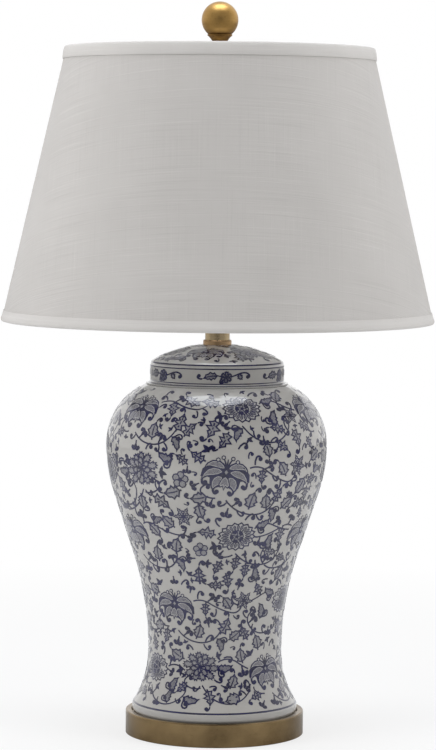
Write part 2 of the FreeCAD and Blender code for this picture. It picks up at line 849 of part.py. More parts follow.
def make_socket_cap():
    """The brass cup screwed on the rod: a threaded hub that flares into a cup for the shell."""
    wall = s.cap_wall
    inner, bore = s.cap_radius - wall, s.rod_radius
    turned("socket_cap", [
        (bore, 0),
        (s.cap_hub_radius, 0),
        (s.cap_hub_radius, s.cap_hub_height),
        (s.cap_radius, s.cap_shoulder_height, s.cap_curve, LEFT),
        (s.cap_radius, s.cap_height),
        (inner, s.cap_height),
        (inner, s.cap_shoulder_height),
        (s.cap_hub_radius - wall, s.cap_hub_height + wall, s.cap_curve - wall, RIGHT),
        (bore, s.cap_hub_height + wall),
    ], z=cap_level)
    tube("socket_set_screw", 0, s.set_screw_radius, s.set_screw_length,
         x=s.rod_radius + s.set_screw_gap, z=cap_level + s.set_screw_height, rotation=SIDEWAYS)


def make_slotted_tube(label, radius, wall, height, bead):
    """A tube with a notch in its lower edge that clears the switch shaft."""
    body = new_body(label)
    inner = radius - wall
    if bead:
        rim = s.shell_bead_radius
        foot = height - s.shell_bead_height
        revolve(body, [(inner, 0), (radius, 0), (radius, foot), (rim, foot + (rim - radius)),
                       (rim, height), (inner, height)])
    else:
        revolve(body, [(inner, 0), (radius, 0), (radius, height), (inner, height)])
    notch = new_sketch(body, "notch")
    half = s.shell_slot_width / 2
    draw(notch, [(-half, -wall), (half, -wall), (half, s.shell_slot_height),
                 (-half, s.shell_slot_height)])
    cut(body, notch, reverse=True)
    place(body, z=s.shell_level)


def make_socket_core():
    """The moulded block for contacts and rotary switch, on a stem that stands on the cap's hub."""
    body = new_body("socket_core")
    stem_foot = cap_level + s.cap_hub_height + s.cap_wall - s.core_level
    revolve(body, [
        (s.rod_bore_radius, stem_foot),
        (s.core_stem_radius, stem_foot),
        (s.core_stem_radius, 0),
        (s.core_radius, 0),
        (s.core_radius, s.core_height),
        (0, s.core_height),
        (0, 0),
        (s.rod_bore_radius, 0),
    ])
    bore = new_sketch(body, "shaft_bore")
    draw_circle(bore, 0, s.shaft_level - s.core_level, s.shaft_radius + s.shaft_clearance)
    cut(body, bore, s.shaft_bore_depth, reverse=True)
    place(body, z=s.core_level)


def make_switch():
    """The turn knob with its flutes, on a shaft that runs into the core."""
    turned("switch_shaft", [(0, 0), (s.shaft_radius, 0),
                            (s.shaft_radius, s.shaft_outer_end - s.shaft_inner_end),
                            (0, s.shaft_outer_end - s.shaft_inner_end)],
           y=-s.shaft_inner_end, z=s.shaft_level, rotation=FORWARD)
    body = new_body("switch_knob")
    length = s.knob_outer_end - s.knob_inner_end
    bore_depth = s.shaft_outer_end - s.knob_inner_end
    revolve(body, [
        (s.shaft_radius, 0),
        (s.knob_nose_radius, 0),
        (s.knob_radius, s.knob_radius - s.knob_nose_radius),
        (s.knob_nose_radius, length),
        (0, length),
        (0, bore_depth),
        (s.shaft_radius, bore_depth),
    ])
    flute = new_sketch(body, "flute", "XY_Plane")
    draw_circle(flute, s.knob_radius, 0, s.knob_flute_radius)
    ring_of(body, cut(body, flute, both=True), (flute, ["N_Axis"]), s.knob_flute_count)
    place(body, y=-s.knob_inner_end, z=s.shaft_level, rotation=FORWARD)


def make_bulb():
    """A pear-shaped frosted bulb and its screw cap."""
    cap_foot = s.bulb_insulator_height
    turned("bulb_cap", [
        (0, 0),
        (s.bulb_contact_radius, 0),
        (s.bulb_contact_radius, s.bulb_contact_height),
        (s.bulb_cap_radius, cap_foot),
        (s.bulb_cap_radius, s.bulb_cap_height),
        (0, s.bulb_cap_height),
    ], z=s.bulb_level)
    globe = s.bulb_globe_radius
    globe_centre = s.bulb_height - globe
    # the neck's hollow curve meets the globe in a common tangent
    waist = s.bulb_neck_radius + s.bulb_neck_curve
    reach = s.bulb_neck_curve + globe
    drop = other_leg(reach, waist)
    meeting = (waist * globe / reach, globe_centre - drop * globe / reach)
    curve_foot = globe_centre - drop
    foot, wall = s.bulb_cap_height, s.bulb_glass_wall
    inner = globe - wall
    inner_meeting = (waist * inner / reach, globe_centre - drop * inner / reach)
    turned("bulb_glass", [
        (s.bulb_neck_radius - wall, foot),
        (s.bulb_neck_radius, foot),
        (s.bulb_neck_radius, curve_foot),
        (*meeting, s.bulb_neck_curve, RIGHT),
        (globe, globe_centre, globe, LEFT),
        (0, s.bulb_height, globe, LEFT),
        (0, s.bulb_height - wall),
        (inner, globe_centre, inner, RIGHT),
        (*inner_meeting, inner, RIGHT),
        (s.bulb_neck_radius - wall, curve_foot, s.bulb_neck_curve + wall, LEFT),
    ], z=s.bulb_level)


def make_socket_parts():
    """The lampholder from its cap to its screw shell, with the switch and the bulb."""
    make_socket_cap()
    make_slotted_tube("socket_shell", s.shell_radius, s.shell_wall, s.shell_height, bead=True)
    make_slotted_tube("insulating_sleeve", s.sleeve_radius, s.sleeve_wall, s.sleeve_height,
                      bead=False)
    make_socket_core()
    core_top = s.core_level + s.core_height
    tube("screw_shell", s.screw_shell_radius - s.screw_shell_wall, s.screw_shell_radius,
         s.screw_shell_height, z=core_top)
    tube("centre_contact", 0, s.contact_radius, s.contact_thickness, z=core_top)
    make_switch()
    make_bulb()


# ---------------------------------------------------------------- shade


def shade_radius(height):
    """The outer radius of the linen at a height above the shade's lower edge."""
    return s.shade_foot_radius - shade_slope * height


def make_cone(label, outer_skin, thickness):
    """One ply of the shade's wall, set in from the linen's face by outer_skin."""
    low, high = s.shade_edge_inset, s.shade_height - s.shade_edge_inset
    outer = [shade_radius(height) - outer_skin for height in (low, high)]
    turned(label, [
        (outer[0] - thickness, low),
        (outer[0], low),
        (outer[1], high),
        (outer[1] - thickness, high),
    ], z=s.shade_level)


def make_wire_ring(label, height):
    """A wire hoop that lies against the inside of the liner."""
    ring = doc.addObject("Part::Torus", label)
    ring.Label = label
    skins = s.shade_cover_thickness + s.shade_liner_thickness + s.ring_clearance
    centre = shade_radius(height + s.ring_wire_radius) - skins - s.ring_wire_radius
    ring.setExpression("Radius1", centre.formula)
    ring.setExpression("Radius2", s.ring_wire_radius.formula)
    place(ring, z=s.shade_level + height)
    pieces.append(ring)
    return centre


def trim_inside(ring_centre):
    """The radius of the trim's inner skin, just inside the wire hoop."""
    return ring_centre - s.ring_wire_radius - s.trim_clearance


def make_bottom_trim(ring_centre):
    """The strip of shade cloth folded round the lower edge."""
    seam, edge = s.bottom_trim_height, s.trim_edge
    face = shade_radius(seam) + s.trim_clearance
    inside = trim_inside(ring_centre)
    skin, bend = s.trim_inner_skin, s.trim_edge_round
    turned("bottom_trim", [
        (face, seam),
        (shade_radius(edge) + s.trim_clearance, edge),
        (inside, edge),
        (inside, s.trim_inner_height),
        (inside - skin, s.trim_inner_height),
        (inside - skin, edge),
        (inside + edge - skin, 0, edge, LEFT),
        (s.bottom_trim_radius - bend, 0),
        (s.bottom_trim_radius, bend, bend, LEFT),
        (face + s.trim_skin, seam),
    ], z=s.shade_level)


def make_top_trim(ring_centre):
    """The strip of shade cloth folded round the upper edge, doubled over on the outside."""
    top = s.shade_height
    seam, edge = top - s.top_trim_height, top - s.trim_edge
    face = shade_radius(seam) + s.trim_clearance
    inside = trim_inside(ring_centre)
    skin, bend = s.trim_inner_skin, s.trim_edge_round
    turned("top_trim", [
        (face, seam),
        (face + s.trim_skin, seam),
        (s.top_trim_radius, top - bend),
        (s.top_trim_radius - bend, top, bend, LEFT),
        (inside + s.trim_edge - skin, top),
        (inside - skin, edge, s.trim_edge, LEFT),
        (inside - skin, top - s.trim_inner_height),
        (inside, top - s.trim_inner_height),
        (inside, edge),
        (shade_radius(edge) + s.trim_clearance, edge),
    ], z=s.shade_level)


def make_spider(ring_height):
    """The fitter: a washer for the harp stud and three wire arms that rise to the top hoop."""
    tube("spider_washer", s.spider_hole_radius, s.spider_washer_radius,
         s.spider_washer_thickness, z=spider_level)
    body = new_body("spider_arms")
    body.AllowCompound = True
    wire = s.spider_wire_radius
    low = spider_level + s.spider_washer_thickness / 2
    high = s.shade_level + ring_height - s.ring_wire_radius - wire + s.spider_weld
    rise, start = high - low, s.spider_bend_start
    # two equal arcs lift the arm from the washer's height to the hoop's
    run = other_leg(s.spider_bend, s.spider_bend - rise / 2)
    section = new_sketch(body, "section", "YZ_Plane", s.spider_arm_start)
    draw_circle(section, 0, 0, wire)
    path = new_sketch(body, "path")
    edges = draw(path, [
        (s.spider_arm_start, 0),
        (start, 0),
        (start + run, rise / 2, s.spider_bend, LEFT),
        (start + 2 * run, rise, s.spider_bend, RIGHT),
        (s.spider_arm_end, rise),
    ], closed=False)
    arm = bend_wire(body, section, path, edges)
    ring_of(body, arm, (origin_item(body, "Z_Axis"), [""]), s.spider_arm_count)
    place(body, z=low, rotation=QUARTER_TURN)


def make_shade_parts():
    """The linen and its liner on two wire hoops, the folded trims and the spider."""
    make_cone("shade_cover", 0, s.shade_cover_thickness)
    make_cone("shade_liner", s.shade_cover_thickness, s.shade_liner_thickness)
    bottom_centre = make_wire_ring("bottom_ring", s.bottom_ring_height)
    top_ring_height = s.shade_height - s.top_ring_drop
    top_centre = make_wire_ring("top_ring", top_ring_height)
    make_bottom_trim(bottom_centre)
    make_top_trim(top_centre)
    make_spider(top_ring_height)


# ---------------------------------------------------------------- finial


def make_finial():
    """A brass ball on a coved cup and stem, bored to screw on the harp stud."""
    ball, centre = s.finial_ball_radius, s.finial_ball_height
    bead_top = s.finial_cup_height + s.finial_bead_height
    bead_seat = other_leg(ball, centre - bead_top)
    turned("finial", [
        (s.finial_bore_radius, 0),
        (s.finial_flange_radius, 0),
        (s.finial_flange_radius, s.finial_flange_height),
        (s.finial_waist_radius, s.finial_waist_height, s.finial_waist_height, RIGHT),
        (s.finial_cup_radius, s.finial_cup_height, s.finial_cup_cove, RIGHT),
        (s.finial_bead_radius, s.finial_cup_height),
        (s.finial_bead_radius, bead_top),
        (bead_seat, bead_top),
        (ball, centre, ball, LEFT),
        (0, centre + ball, ball, LEFT),
        (0, s.finial_bore_depth),
        (s.finial_bore_radius, s.finial_bore_depth),
    ], z=spider_level + s.spider_washer_thickness)


# ---------------------------------------------------------------- build and write


def check_and_write():
    """Checks every object and every piece, then writes one file for each piece."""
    doc.recompute()
    for item in doc.Objects:
        if "Invalid" in item.State or "Error" in item.State:
            raise RuntimeError(f"{item.Label} failed: {item.State}")
        if item.isDerivedFrom("Sketcher::SketchObject") and not item.FullyConstrained:
            raise RuntimeError(f"{item.Label} is not fully constrained")
    os.makedirs("parts", exist_ok=True)
    for piece in pieces:
        if piece.Shape.isNull() or not piece.Shape.isValid() or not piece.Shape.Solids:
            raise RuntimeError(f"{piece.Label} has no valid solid")
    for piece in pieces:
        piece.Shape.exportStep(f"parts/{piece.Label}.step")
        box = piece.Shape.BoundBox
        print(f"{piece.Label:22s} solids {len(piece.Shape.Solids)} "
              f"z {box.ZMin:8.2f} to {box.ZMax:8.2f}  x {box.XMin:8.2f} to {box.XMax:8.2f}")


make_felt_pad()
make_base_cup()
make_cord_bushing()
make_jar_parts()
make_rod_parts()
make_neck_parts()
make_harp_parts()
make_socket_parts()
make_shade_parts()
make_finial()
check_and_write()
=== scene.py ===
"""A blue and white ginger jar lamp, dressed in its finishes around its fixed frame.

The frame holds every rigid piece. This script gives each of them its finish, paints the jar and
lid with a scrolling flower ornament, and models the shade's linen and its folded trims.
Lengths inside the ornament are millimetres on the unrolled surface; everything else is metres.
"""

import cmath
import enum
import logging
import math
import random
from collections.abc import Callable, Iterable, Sequence
from dataclasses import dataclass, field

import bmesh
import bpy
import numpy as np
from mathutils import Euler, Matrix, Vector
from mathutils.bvhtree import BVHTree


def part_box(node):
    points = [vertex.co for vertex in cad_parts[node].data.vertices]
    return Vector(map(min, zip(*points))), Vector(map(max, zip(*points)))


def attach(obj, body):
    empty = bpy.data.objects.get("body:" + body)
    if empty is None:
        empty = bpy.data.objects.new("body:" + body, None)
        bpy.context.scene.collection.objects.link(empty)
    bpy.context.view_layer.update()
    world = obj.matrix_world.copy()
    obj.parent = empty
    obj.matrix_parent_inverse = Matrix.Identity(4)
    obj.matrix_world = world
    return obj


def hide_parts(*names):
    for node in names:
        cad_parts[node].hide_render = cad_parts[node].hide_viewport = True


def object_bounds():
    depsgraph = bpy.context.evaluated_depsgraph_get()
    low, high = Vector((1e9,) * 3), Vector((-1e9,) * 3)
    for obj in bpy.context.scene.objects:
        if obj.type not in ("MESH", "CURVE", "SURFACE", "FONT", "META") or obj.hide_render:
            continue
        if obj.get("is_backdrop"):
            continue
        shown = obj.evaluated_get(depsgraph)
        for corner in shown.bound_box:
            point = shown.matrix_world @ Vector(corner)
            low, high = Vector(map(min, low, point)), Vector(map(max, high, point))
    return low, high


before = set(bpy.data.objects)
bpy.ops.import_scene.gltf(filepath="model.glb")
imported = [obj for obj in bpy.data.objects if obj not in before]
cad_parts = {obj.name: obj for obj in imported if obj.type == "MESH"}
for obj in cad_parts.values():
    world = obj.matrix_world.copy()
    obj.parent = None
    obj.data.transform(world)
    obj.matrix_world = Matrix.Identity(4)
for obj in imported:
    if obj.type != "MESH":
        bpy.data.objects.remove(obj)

LOG = logging.getLogger("ginger_jar_lamp")
MM = 0.001
PICTURE_HEIGHT = 750
FULL_TURN = 2 * math.pi

Point = complex
Triple = tuple[float, float, float]
Colour = Triple


# ------------------------------------------------------------------ shader maths


class Value:
    """A node's output, on which Python's arithmetic adds Math nodes."""

    def __init__(self, graph: "Graph", socket: bpy.types.NodeSocket) -> None:
        """Keeps the output and the graph that new nodes go into."""
        self.graph = graph
        self.socket = socket

    def math(self, operation: str, *terms: "Value | float") -> "Value":
        """Adds one Math node on this value.

        Args:
            operation: the node's operation.
            terms: its other operands.

        Returns:
            The node's result.
        """
        operands = dict(enumerate((self, *terms)))
        return self.graph.add("ShaderNodeMath", {"operation": operation}, operands)

    def __add__(self, other: "Value | float") -> "Value":
        """Adds."""
        return self.math("ADD", other)

    def __mul__(self, other: "Value | float") -> "Value":
        """Multiplies."""
        return self.math("MULTIPLY", other)

    def __sub__(self, other: "Value | float") -> "Value":
        """Subtracts."""
        return self.math("SUBTRACT", other)

    def __rsub__(self, other: float) -> "Value":
        """Subtracts this value from a number."""
        return self * -1.0 + other

    def __pow__(self, other: "Value | float") -> "Value":
        """Raises to a power."""
        return self.math("POWER", other)

    __radd__ = __add__
    __rmul__ = __mul__

    def swing(self, amount: float) -> "Value":
        """Makes a noise, whose middle is 0.5, swing by an amount about nothing."""
        return (self - 0.5) * amount

    def clamped(self) -> "Value":
        """Keeps the value between 0 and 1."""
        return self.math("MAXIMUM", 0.0).math("MINIMUM", 1.0)

    def above(self, limit: float, softness: float) -> "Value":
        """Turns the value into a mask that rises from 0 to 1 about a limit.

        Args:
            limit: the middle of the rise.
            softness: the width of the rise.

        Returns:
            The mask.
        """
        return ((self - limit) * (1 / softness) + 0.5).clamped()


class Graph:
    """A material's node tree, with its one Principled shader."""

    MIX_COLOURS = {"data_type": "RGBA", "clamp_factor": True}

    def __init__(self, name: str) -> None:
        """Makes the material and finds its shader.

        Args:
            name: the material's name.
        """
        self.material = bpy.data.materials.new(name)
        self.material.use_nodes = True
        self.nodes = self.material.node_tree.nodes
        self.links = self.material.node_tree.links
        self.shader = next(node for node in self.nodes if node.type == "BSDF_PRINCIPLED")

    def add(self, kind: str, settings: dict, inputs: dict, output: int | str = 0) -> Value:
        """Adds any node.

        Args:
            kind: the node's type.
            settings: its properties, which are set first.
            inputs: a value or a link for each named or numbered socket.
            output: which result to hand back.

        Returns:
            The chosen output.
        """
        node = self.nodes.new(kind)
        for key, setting in settings.items():
            setattr(node, key, setting)
        for key, given in inputs.items():
            if isinstance(given, Value):
                self.links.new(given.socket, node.inputs[key])
            else:
                node.inputs[key].default_value = given
        return Value(self, node.outputs[output])

    def place(self) -> Value:
        """The object's own coordinates, in metres."""
        return self.add("ShaderNodeTexCoord", {}, {}, "Object")

    def stretch(self, vector: Value, scale: Sequence[float]) -> Value:
        """Scales a vector along its three axes."""
        return self.add("ShaderNodeMapping", {}, {"Vector": vector, "Scale": scale})

    def axes(self, vector: Value) -> list[Value]:
        """Splits a vector into its three numbers."""
        parts = self.add("ShaderNodeSeparateXYZ", {}, {"Vector": vector})
        return [Value(self, output) for output in parts.socket.node.outputs]

    def vector(self, *parts: "Value | float") -> Value:
        """Joins three numbers into a vector."""
        return self.add("ShaderNodeCombineXYZ", {}, dict(enumerate(parts)))

    def noise(self, vector: Value, scale: float, detail: float = 3.0) -> Value:
        """A cloudy value from about 0.2 to 0.8."""
        return self.add("ShaderNodeTexNoise", {},
                        {"Vector": vector, "Scale": scale, "Detail": detail})

    def speckle(self, vector: Value, scale: float) -> Value:
        """The distance to the nearest of many scattered points."""
        return self.add("ShaderNodeTexVoronoi", {}, {"Vector": vector, "Scale": scale}, "Distance")

    def mix(self, share: "Value | float", low: "Value | Colour",
            high: "Value | Colour") -> Value:
        """Blends two colours.

        Args:
            share: 0 for the first, 1 for the second.
            low: the first colour.
            high: the second colour.

        Returns:
            The blended colour.
        """
        ends = [end if isinstance(end, Value) else (*end, 1.0) for end in (low, high)]
        return self.add("ShaderNodeMix", self.MIX_COLOURS, {0: share, 6: ends[0], 7: ends[1]}, 2)

    def bump(self, height: Value, distance: float, strength: float = 1.0) -> Value:
        """A normal that stands for a small relief."""
        return self.add("ShaderNodeBump", {},
                        {"Height": height, "Distance": distance, "Strength": strength})

    def vary(self, **sockets: Value) -> None:
        """Links values to the shader's sockets, named with _ for a space."""
        for name, value in sockets.items():
            self.links.new(value.socket, self.shader.inputs[name.replace("_", " ").title()])

    def fix(self, **sockets: float) -> None:
        """Sets the shader's constants, named with _ for a space.

        Args:
            sockets: the constants.
        """
        for name, value in sockets.items():
            key = name.replace("_", " ").title().replace("Ior", "IOR")
            self.shader.inputs[key].default_value = value


class Surround(Graph):
    """The node tree of the world round the object."""

    def __init__(self, name: str) -> None:
        """Makes the world and finds its background.

        Args:
            name: the world's name.
        """
        world = bpy.data.worlds.new(name)
        world.use_nodes = True
        bpy.context.scene.world = world
        self.nodes = world.node_tree.nodes
        self.links = world.node_tree.links
        self.back = next(node for node in self.nodes if node.type == "BACKGROUND")
        self.back.inputs["Color"].default_value = (1, 1, 1, 1)

    def light(self, strength: Value) -> None:
        """Sets how bright the world is."""
        self.links.new(strength.socket, self.back.inputs["Strength"])


# ------------------------------------------------------------------ finishes


@dataclass(frozen=True)
class Finish:
    """A finish that any number of pieces share."""

    name: str

    def build(self) -> bpy.types.Material:
        """Makes the material, or finds it if a piece has it already.

        Returns:
            The material.
        """
        name = f"{self.name}_finish"
        found = bpy.data.materials.get(name)
        if found:
            return found
        graph = Graph(name)
        self.paint(graph)
        return graph.material

    def paint(self, graph: Graph) -> None:
        """Fills the graph. Each kind of finish has its own way."""
        raise NotImplementedError

    def dress(self, *pieces: bpy.types.Object) -> None:
        """Gives the finish to pieces.

        Args:
            pieces: the objects, which lose any other material.
        """
        for piece in pieces:
            piece.data.materials.clear()
            piece.data.materials.append(self.build())


@dataclass(frozen=True)
class Brass(Finish):
    """Brass turned on a lathe: fine rings, tarnished clouds, and painted shade below a set height.
    """

    bright: Colour
    # the dark colour serves both tarnishing and the painted shade
    tarnish_and_shade: Colour
    polish: float
    haze: float
    # painted shade: the brass is darkened below this height; the default lies below the floor, so
    # none
    painted_shade_below: float = -1.0
    painted_shade_softness: float = 0.006
    ring_pitch: float = 0.00045
    ring_depth: float = 0.00003
    cloud_scale: float = 38.0
    cloud_start: float = 0.36
    speck_scale: float = 420.0

    def paint(self, graph: Graph) -> None:
        """Fine rings in the relief; tarnished clouds and painted shade below a set height in the
        colour and the gloss.

        Args:
            graph: the material's nodes.
        """
        place = graph.place()
        across, along, up = graph.axes(place)
        radius = (across * across + along * along) ** 0.5
        rings = graph.noise(graph.vector(radius, 0.0, up), 1 / self.ring_pitch, 2.0)
        clouds = graph.noise(place, self.cloud_scale, 5.0)
        specks = graph.noise(place, self.speck_scale).above(0.66, 0.1)
        # painted shade: a mask that darkens everything below the set height
        painted_shade_mask = 1 - up.above(self.painted_shade_below, self.painted_shade_softness)
        tarnish_and_painted_shade = ((clouds - self.cloud_start) * 1.9 + rings.swing(0.5) + specks * 0.25
               + painted_shade_mask).clamped()
        graph.vary(base_color=graph.mix(tarnish_and_painted_shade, self.bright, self.tarnish_and_shade),
                   roughness=self.polish + tarnish_and_painted_shade * self.haze + rings.swing(0.12),
                   normal=graph.bump(rings, self.ring_depth, 0.35))
        graph.fix(metallic=1.0, anisotropic=0.35)


@dataclass(frozen=True)
class Metal(Finish):
    """Plated or bare sheet metal."""

    colour: Colour
    polish: float
    cloud_scale: float = 90.0
    cloud_darkness: float = 0.72
    scratch_scale: float = 160.0
    scratch_stretch: Triple = (1.0, 1.0, 30.0)
    scratch_depth: float = 0.00002

    def paint(self, graph: Graph) -> None:
        """A slightly uneven gloss with fine scratches.

        Args:
            graph: the material's nodes.
        """
        place = graph.place()
        clouds = graph.noise(place, self.cloud_scale, 4.0)
        scratches = graph.noise(graph.stretch(place, self.scratch_stretch), self.scratch_scale,
                                2.0)
        dark = tuple(self.cloud_darkness * part for part in self.colour)
        graph.vary(base_color=graph.mix(clouds.above(0.5, 0.6), self.colour, dark),
                   roughness=self.polish + (scratches - 0.4) * 0.25,
                   normal=graph.bump(scratches, self.scratch_depth, 0.4))
        graph.fix(metallic=1.0)


class Glazed(Finish):
    """A finish that lies under clear glaze, which ripples a little."""

    LONG_RIPPLE = 46.0
    SHORT_RIPPLE = 260.0
    SHORT_SHARE = 0.12
    RIPPLE_DEPTH = 0.0005
    RIPPLE_STRENGTH = 0.35
    ROUGHNESS = 0.2
    GLOSS = {"specular_ior_level": 0.12, "coat_weight": 1.0, "coat_roughness": 0.03,
             "coat_ior": 1.52}

    def glaze(self, graph: Graph, place: Value, tint: Value, unevenness: Value) -> None:
        """Lays the glaze over a colour.

        Args:
            graph: the material's nodes.
            place: the object's coordinates.
            tint: the colour.
            unevenness: what is added to the roughness.
        """
        ripple = (graph.noise(place, self.LONG_RIPPLE, 2.0)
                  + graph.noise(place, self.SHORT_RIPPLE, 2.0) * self.SHORT_SHARE)
        graph.vary(base_color=tint, roughness=self.ROUGHNESS + unevenness,
                   normal=graph.bump(ripple, self.RIPPLE_DEPTH, self.RIPPLE_STRENGTH))
        graph.fix(**self.GLOSS)


@dataclass(frozen=True)
class Porcelain(Glazed):
    """A warm white body with pin specks, under the glaze."""

    body: Colour
    shaded: Colour
    speck: Colour = (0.16, 0.13, 0.10)
    cloud_scale: float = 17.0
    speck_scale: float = 95.0
    rarity_scale: float = 60.0

    def paint(self, graph: Graph) -> None:
        """Faint clouds, with a dark pinhole here and there.

        Args:
            graph: the material's nodes.
        """
        place = graph.place()
        clouds = graph.noise(place, self.cloud_scale, 4.0)
        specks = 1 - graph.speckle(place, self.speck_scale).above(0.05, 0.03)
        rare = graph.noise(place, self.rarity_scale, 1.0).above(0.62, 0.02)
        tint = graph.mix(clouds.above(0.5, 0.5), self.body, self.shaded)
        self.glaze(graph, place, graph.mix(specks * rare * 0.55, tint, self.speck),
                   clouds.swing(0.1))


@dataclass(frozen=True)
class Cobalt(Glazed):
    """Blue brushed under the glaze: full lines, and washes that are finely hatched."""

    line: Colour
    faded: Colour
    ground: Colour
    hatch_pitch: float = 0.62
    hatch_slope: float = 0.45
    swerve_scale: float = 0.3
    swerve: float = 2.4
    dot_scale: float = 0.9
    pool_scale: float = 330.0
    fading_scale: float = 75.0
    line_tone: float = 0.8
    line_depth: float = 1.03

    def paint(self, graph: Graph) -> None:
        """Reads each face's tone, and hatches the paler ones along the motif's own drawing.

        Args:
            graph: the material's nodes.
        """
        place = graph.place()
        tone = graph.add("ShaderNodeAttribute", {"attribute_name": "tone"}, {}, "Fac")
        drawing = graph.add("ShaderNodeUVMap", {"uv_map": "drawing"}, {})
        across, up, _ = graph.axes(drawing)
        swerve = graph.noise(drawing, self.swerve_scale, 2.0).swing(self.swerve)
        phase = (across * self.hatch_slope + up + swerve) * (FULL_TURN / self.hatch_pitch)
        dots = 1 - graph.speckle(drawing, self.dot_scale).above(0.34, 0.14)
        hatch = (phase.math("SINE").above(0.15, 0.5) * 0.75 + dots * 0.45).clamped()
        pool = graph.noise(place, self.pool_scale)
        wash = tone * (0.45 + hatch * 0.95)
        solid = tone.above(self.line_tone, 0.1)
        depth = (solid * (self.line_depth + pool.swing(0.3)) + (1 - solid) * wash).clamped()
        fading = graph.noise(place, self.fading_scale, 2.0).above(0.5, 0.5)
        blue = graph.mix(fading, self.line, self.faded)
        self.glaze(graph, place, graph.mix(depth, self.ground, blue), pool.swing(0.08))


@dataclass(frozen=True)
class Linen(Finish):
    """Plain-woven linen with slubs, laid out along the cloth's own threads."""

    thread: Colour
    hollow: Colour
    pitch: float = 0.00062
    slub: float = 1.0
    waver_scale: float = 60.0
    waver: float = 0.0012
    level_stretch: Triple = (9.0, 900.0, 1.0)
    upright_stretch: Triple = (900.0, 11.0, 1.0)
    cloud_scale: float = 14.0
    relief: float = 0.00022

    def paint(self, graph: Graph) -> None:
        """A fine weave in the relief, with thick threads both ways in the colour.

        Args:
            graph: the material's nodes.
        """
        cloth = graph.add("ShaderNodeUVMap", {"uv_map": "cloth"}, {})
        across, up, _ = graph.axes(cloth)
        turns = FULL_TURN / self.pitch
        drift = graph.noise(cloth, self.waver_scale, 2.0).swing(self.waver)
        warp, weft = (((way + drift) * turns).math("SINE") for way in (across, up))
        weave = warp * 0.5 + weft * 0.5
        level, upright = (graph.noise(graph.stretch(cloth, stretch), 1.0, 4.0)
                          for stretch in (self.level_stretch, self.upright_stretch))
        slubs = level.above(0.63, 0.12) + upright.above(0.66, 0.12) * 0.7
        thin = (1 - level.above(0.38, 0.12)) + (1 - upright.above(0.36, 0.12)) * 0.7
        clouds = graph.noise(cloth, self.cloud_scale)
        shade = (0.42 + clouds.swing(0.5) + thin * (0.3 * self.slub)
                 - slubs * (0.34 * self.slub) - weave * 0.12).clamped()
        height = weave * 0.35 + slubs * (0.6 * self.slub) - thin * 0.2
        graph.vary(base_color=graph.mix(shade, self.thread, self.hollow),
                   roughness=0.86 + clouds.swing(0.1),
                   normal=graph.bump(height, self.relief, 0.55))
        graph.fix(sheen_weight=0.12, sheen_roughness=0.5)


@dataclass(frozen=True)
class Moulded(Finish):
    """A matt or satin non-metal: plastic, rubber, enamel or board."""

    colour: Colour
    dust: Colour
    roughness: float
    grain_scale: float = 260.0
    cloud_scale: float = 28.0
    relief: float = 0.00004

    def paint(self, graph: Graph) -> None:
        """A grain in the relief and a little dust in the colour.

        Args:
            graph: the material's nodes.
        """
        place = graph.place()
        grain = graph.noise(place, self.grain_scale)
        clouds = graph.noise(place, self.cloud_scale, 4.0)
        graph.vary(base_color=graph.mix(clouds.above(0.55, 0.5), self.colour, self.dust),
                   roughness=self.roughness + grain.swing(0.16),
                   normal=graph.bump(grain, self.relief, 0.6))


@dataclass(frozen=True)
class Felt(Finish):
    """Pressed wool felt."""

    colour: Colour
    fibre: Colour
    fibre_scale: float = 900.0
    fibre_stretch: Triple = (1.0, 3.0, 1.0)
    cloud_scale: float = 60.0
    relief: float = 0.0004

    def paint(self, graph: Graph) -> None:
        """Short fibres in every direction.

        Args:
            graph: the material's nodes.
        """
        place = graph.place()
        fibres = graph.noise(graph.stretch(place, self.fibre_stretch), self.fibre_scale, 4.0)
        clouds = graph.noise(place, self.cloud_scale, 4.0)
        graph.vary(base_color=graph.mix(fibres.above(0.52, 0.3), self.colour, self.fibre),
                   roughness=0.92 + clouds.swing(0.1),
                   normal=graph.bump(fibres + clouds, self.relief, 0.8))
        graph.fix(sheen_weight=0.4)


@dataclass(frozen=True)
class Frosted(Finish):
    """Glass with a fine white coat inside."""

    colour: Colour
    edge: Colour
    coat_scale: float = 130.0
    relief: float = 0.00003

    def paint(self, graph: Graph) -> None:
        """A soft white body with a slightly uneven coat.

        Args:
            graph: the material's nodes.
        """
        coat = graph.noise(graph.place(), self.coat_scale, 4.0)
        graph.vary(base_color=graph.mix(coat.above(0.5, 0.6), self.colour, self.edge),
                   roughness=0.34 + coat.swing(0.1),
                   normal=graph.bump(coat, self.relief, 0.4))
        graph.fix(subsurface_weight=0.25, subsurface_scale=0.004, coat_weight=0.5,
                  coat_roughness=0.08)


ANTIQUE_BRASS = Brass("antique_brass", (0.245, 0.172, 0.086), (0.106, 0.071, 0.035), 0.19, 0.10)
# the finial's stem below 0.703 m is darkened with painted shade
AGED_BRASS = Brass("aged_brass", (0.54, 0.33, 0.11), (0.24, 0.13, 0.038), 0.33, 0.12, 0.703)
POLISHED_BRASS = Brass("polished_brass", (0.53, 0.42, 0.255), (0.31, 0.235, 0.135), 0.17, 0.12)
COPPERY_BRASS = Brass("coppery_brass", (0.50, 0.34, 0.19), (0.29, 0.185, 0.1), 0.2, 0.12)
GLAZE = Porcelain("porcelain_glaze", (0.42, 0.408, 0.39), (0.375, 0.363, 0.345))
BLUE = Cobalt("cobalt_blue", (0.006, 0.006, 0.030), (0.013, 0.0135, 0.068), (0.37, 0.362, 0.355))
LINEN = Linen("shade_linen", (0.58, 0.56, 0.54), (0.455, 0.437, 0.42))
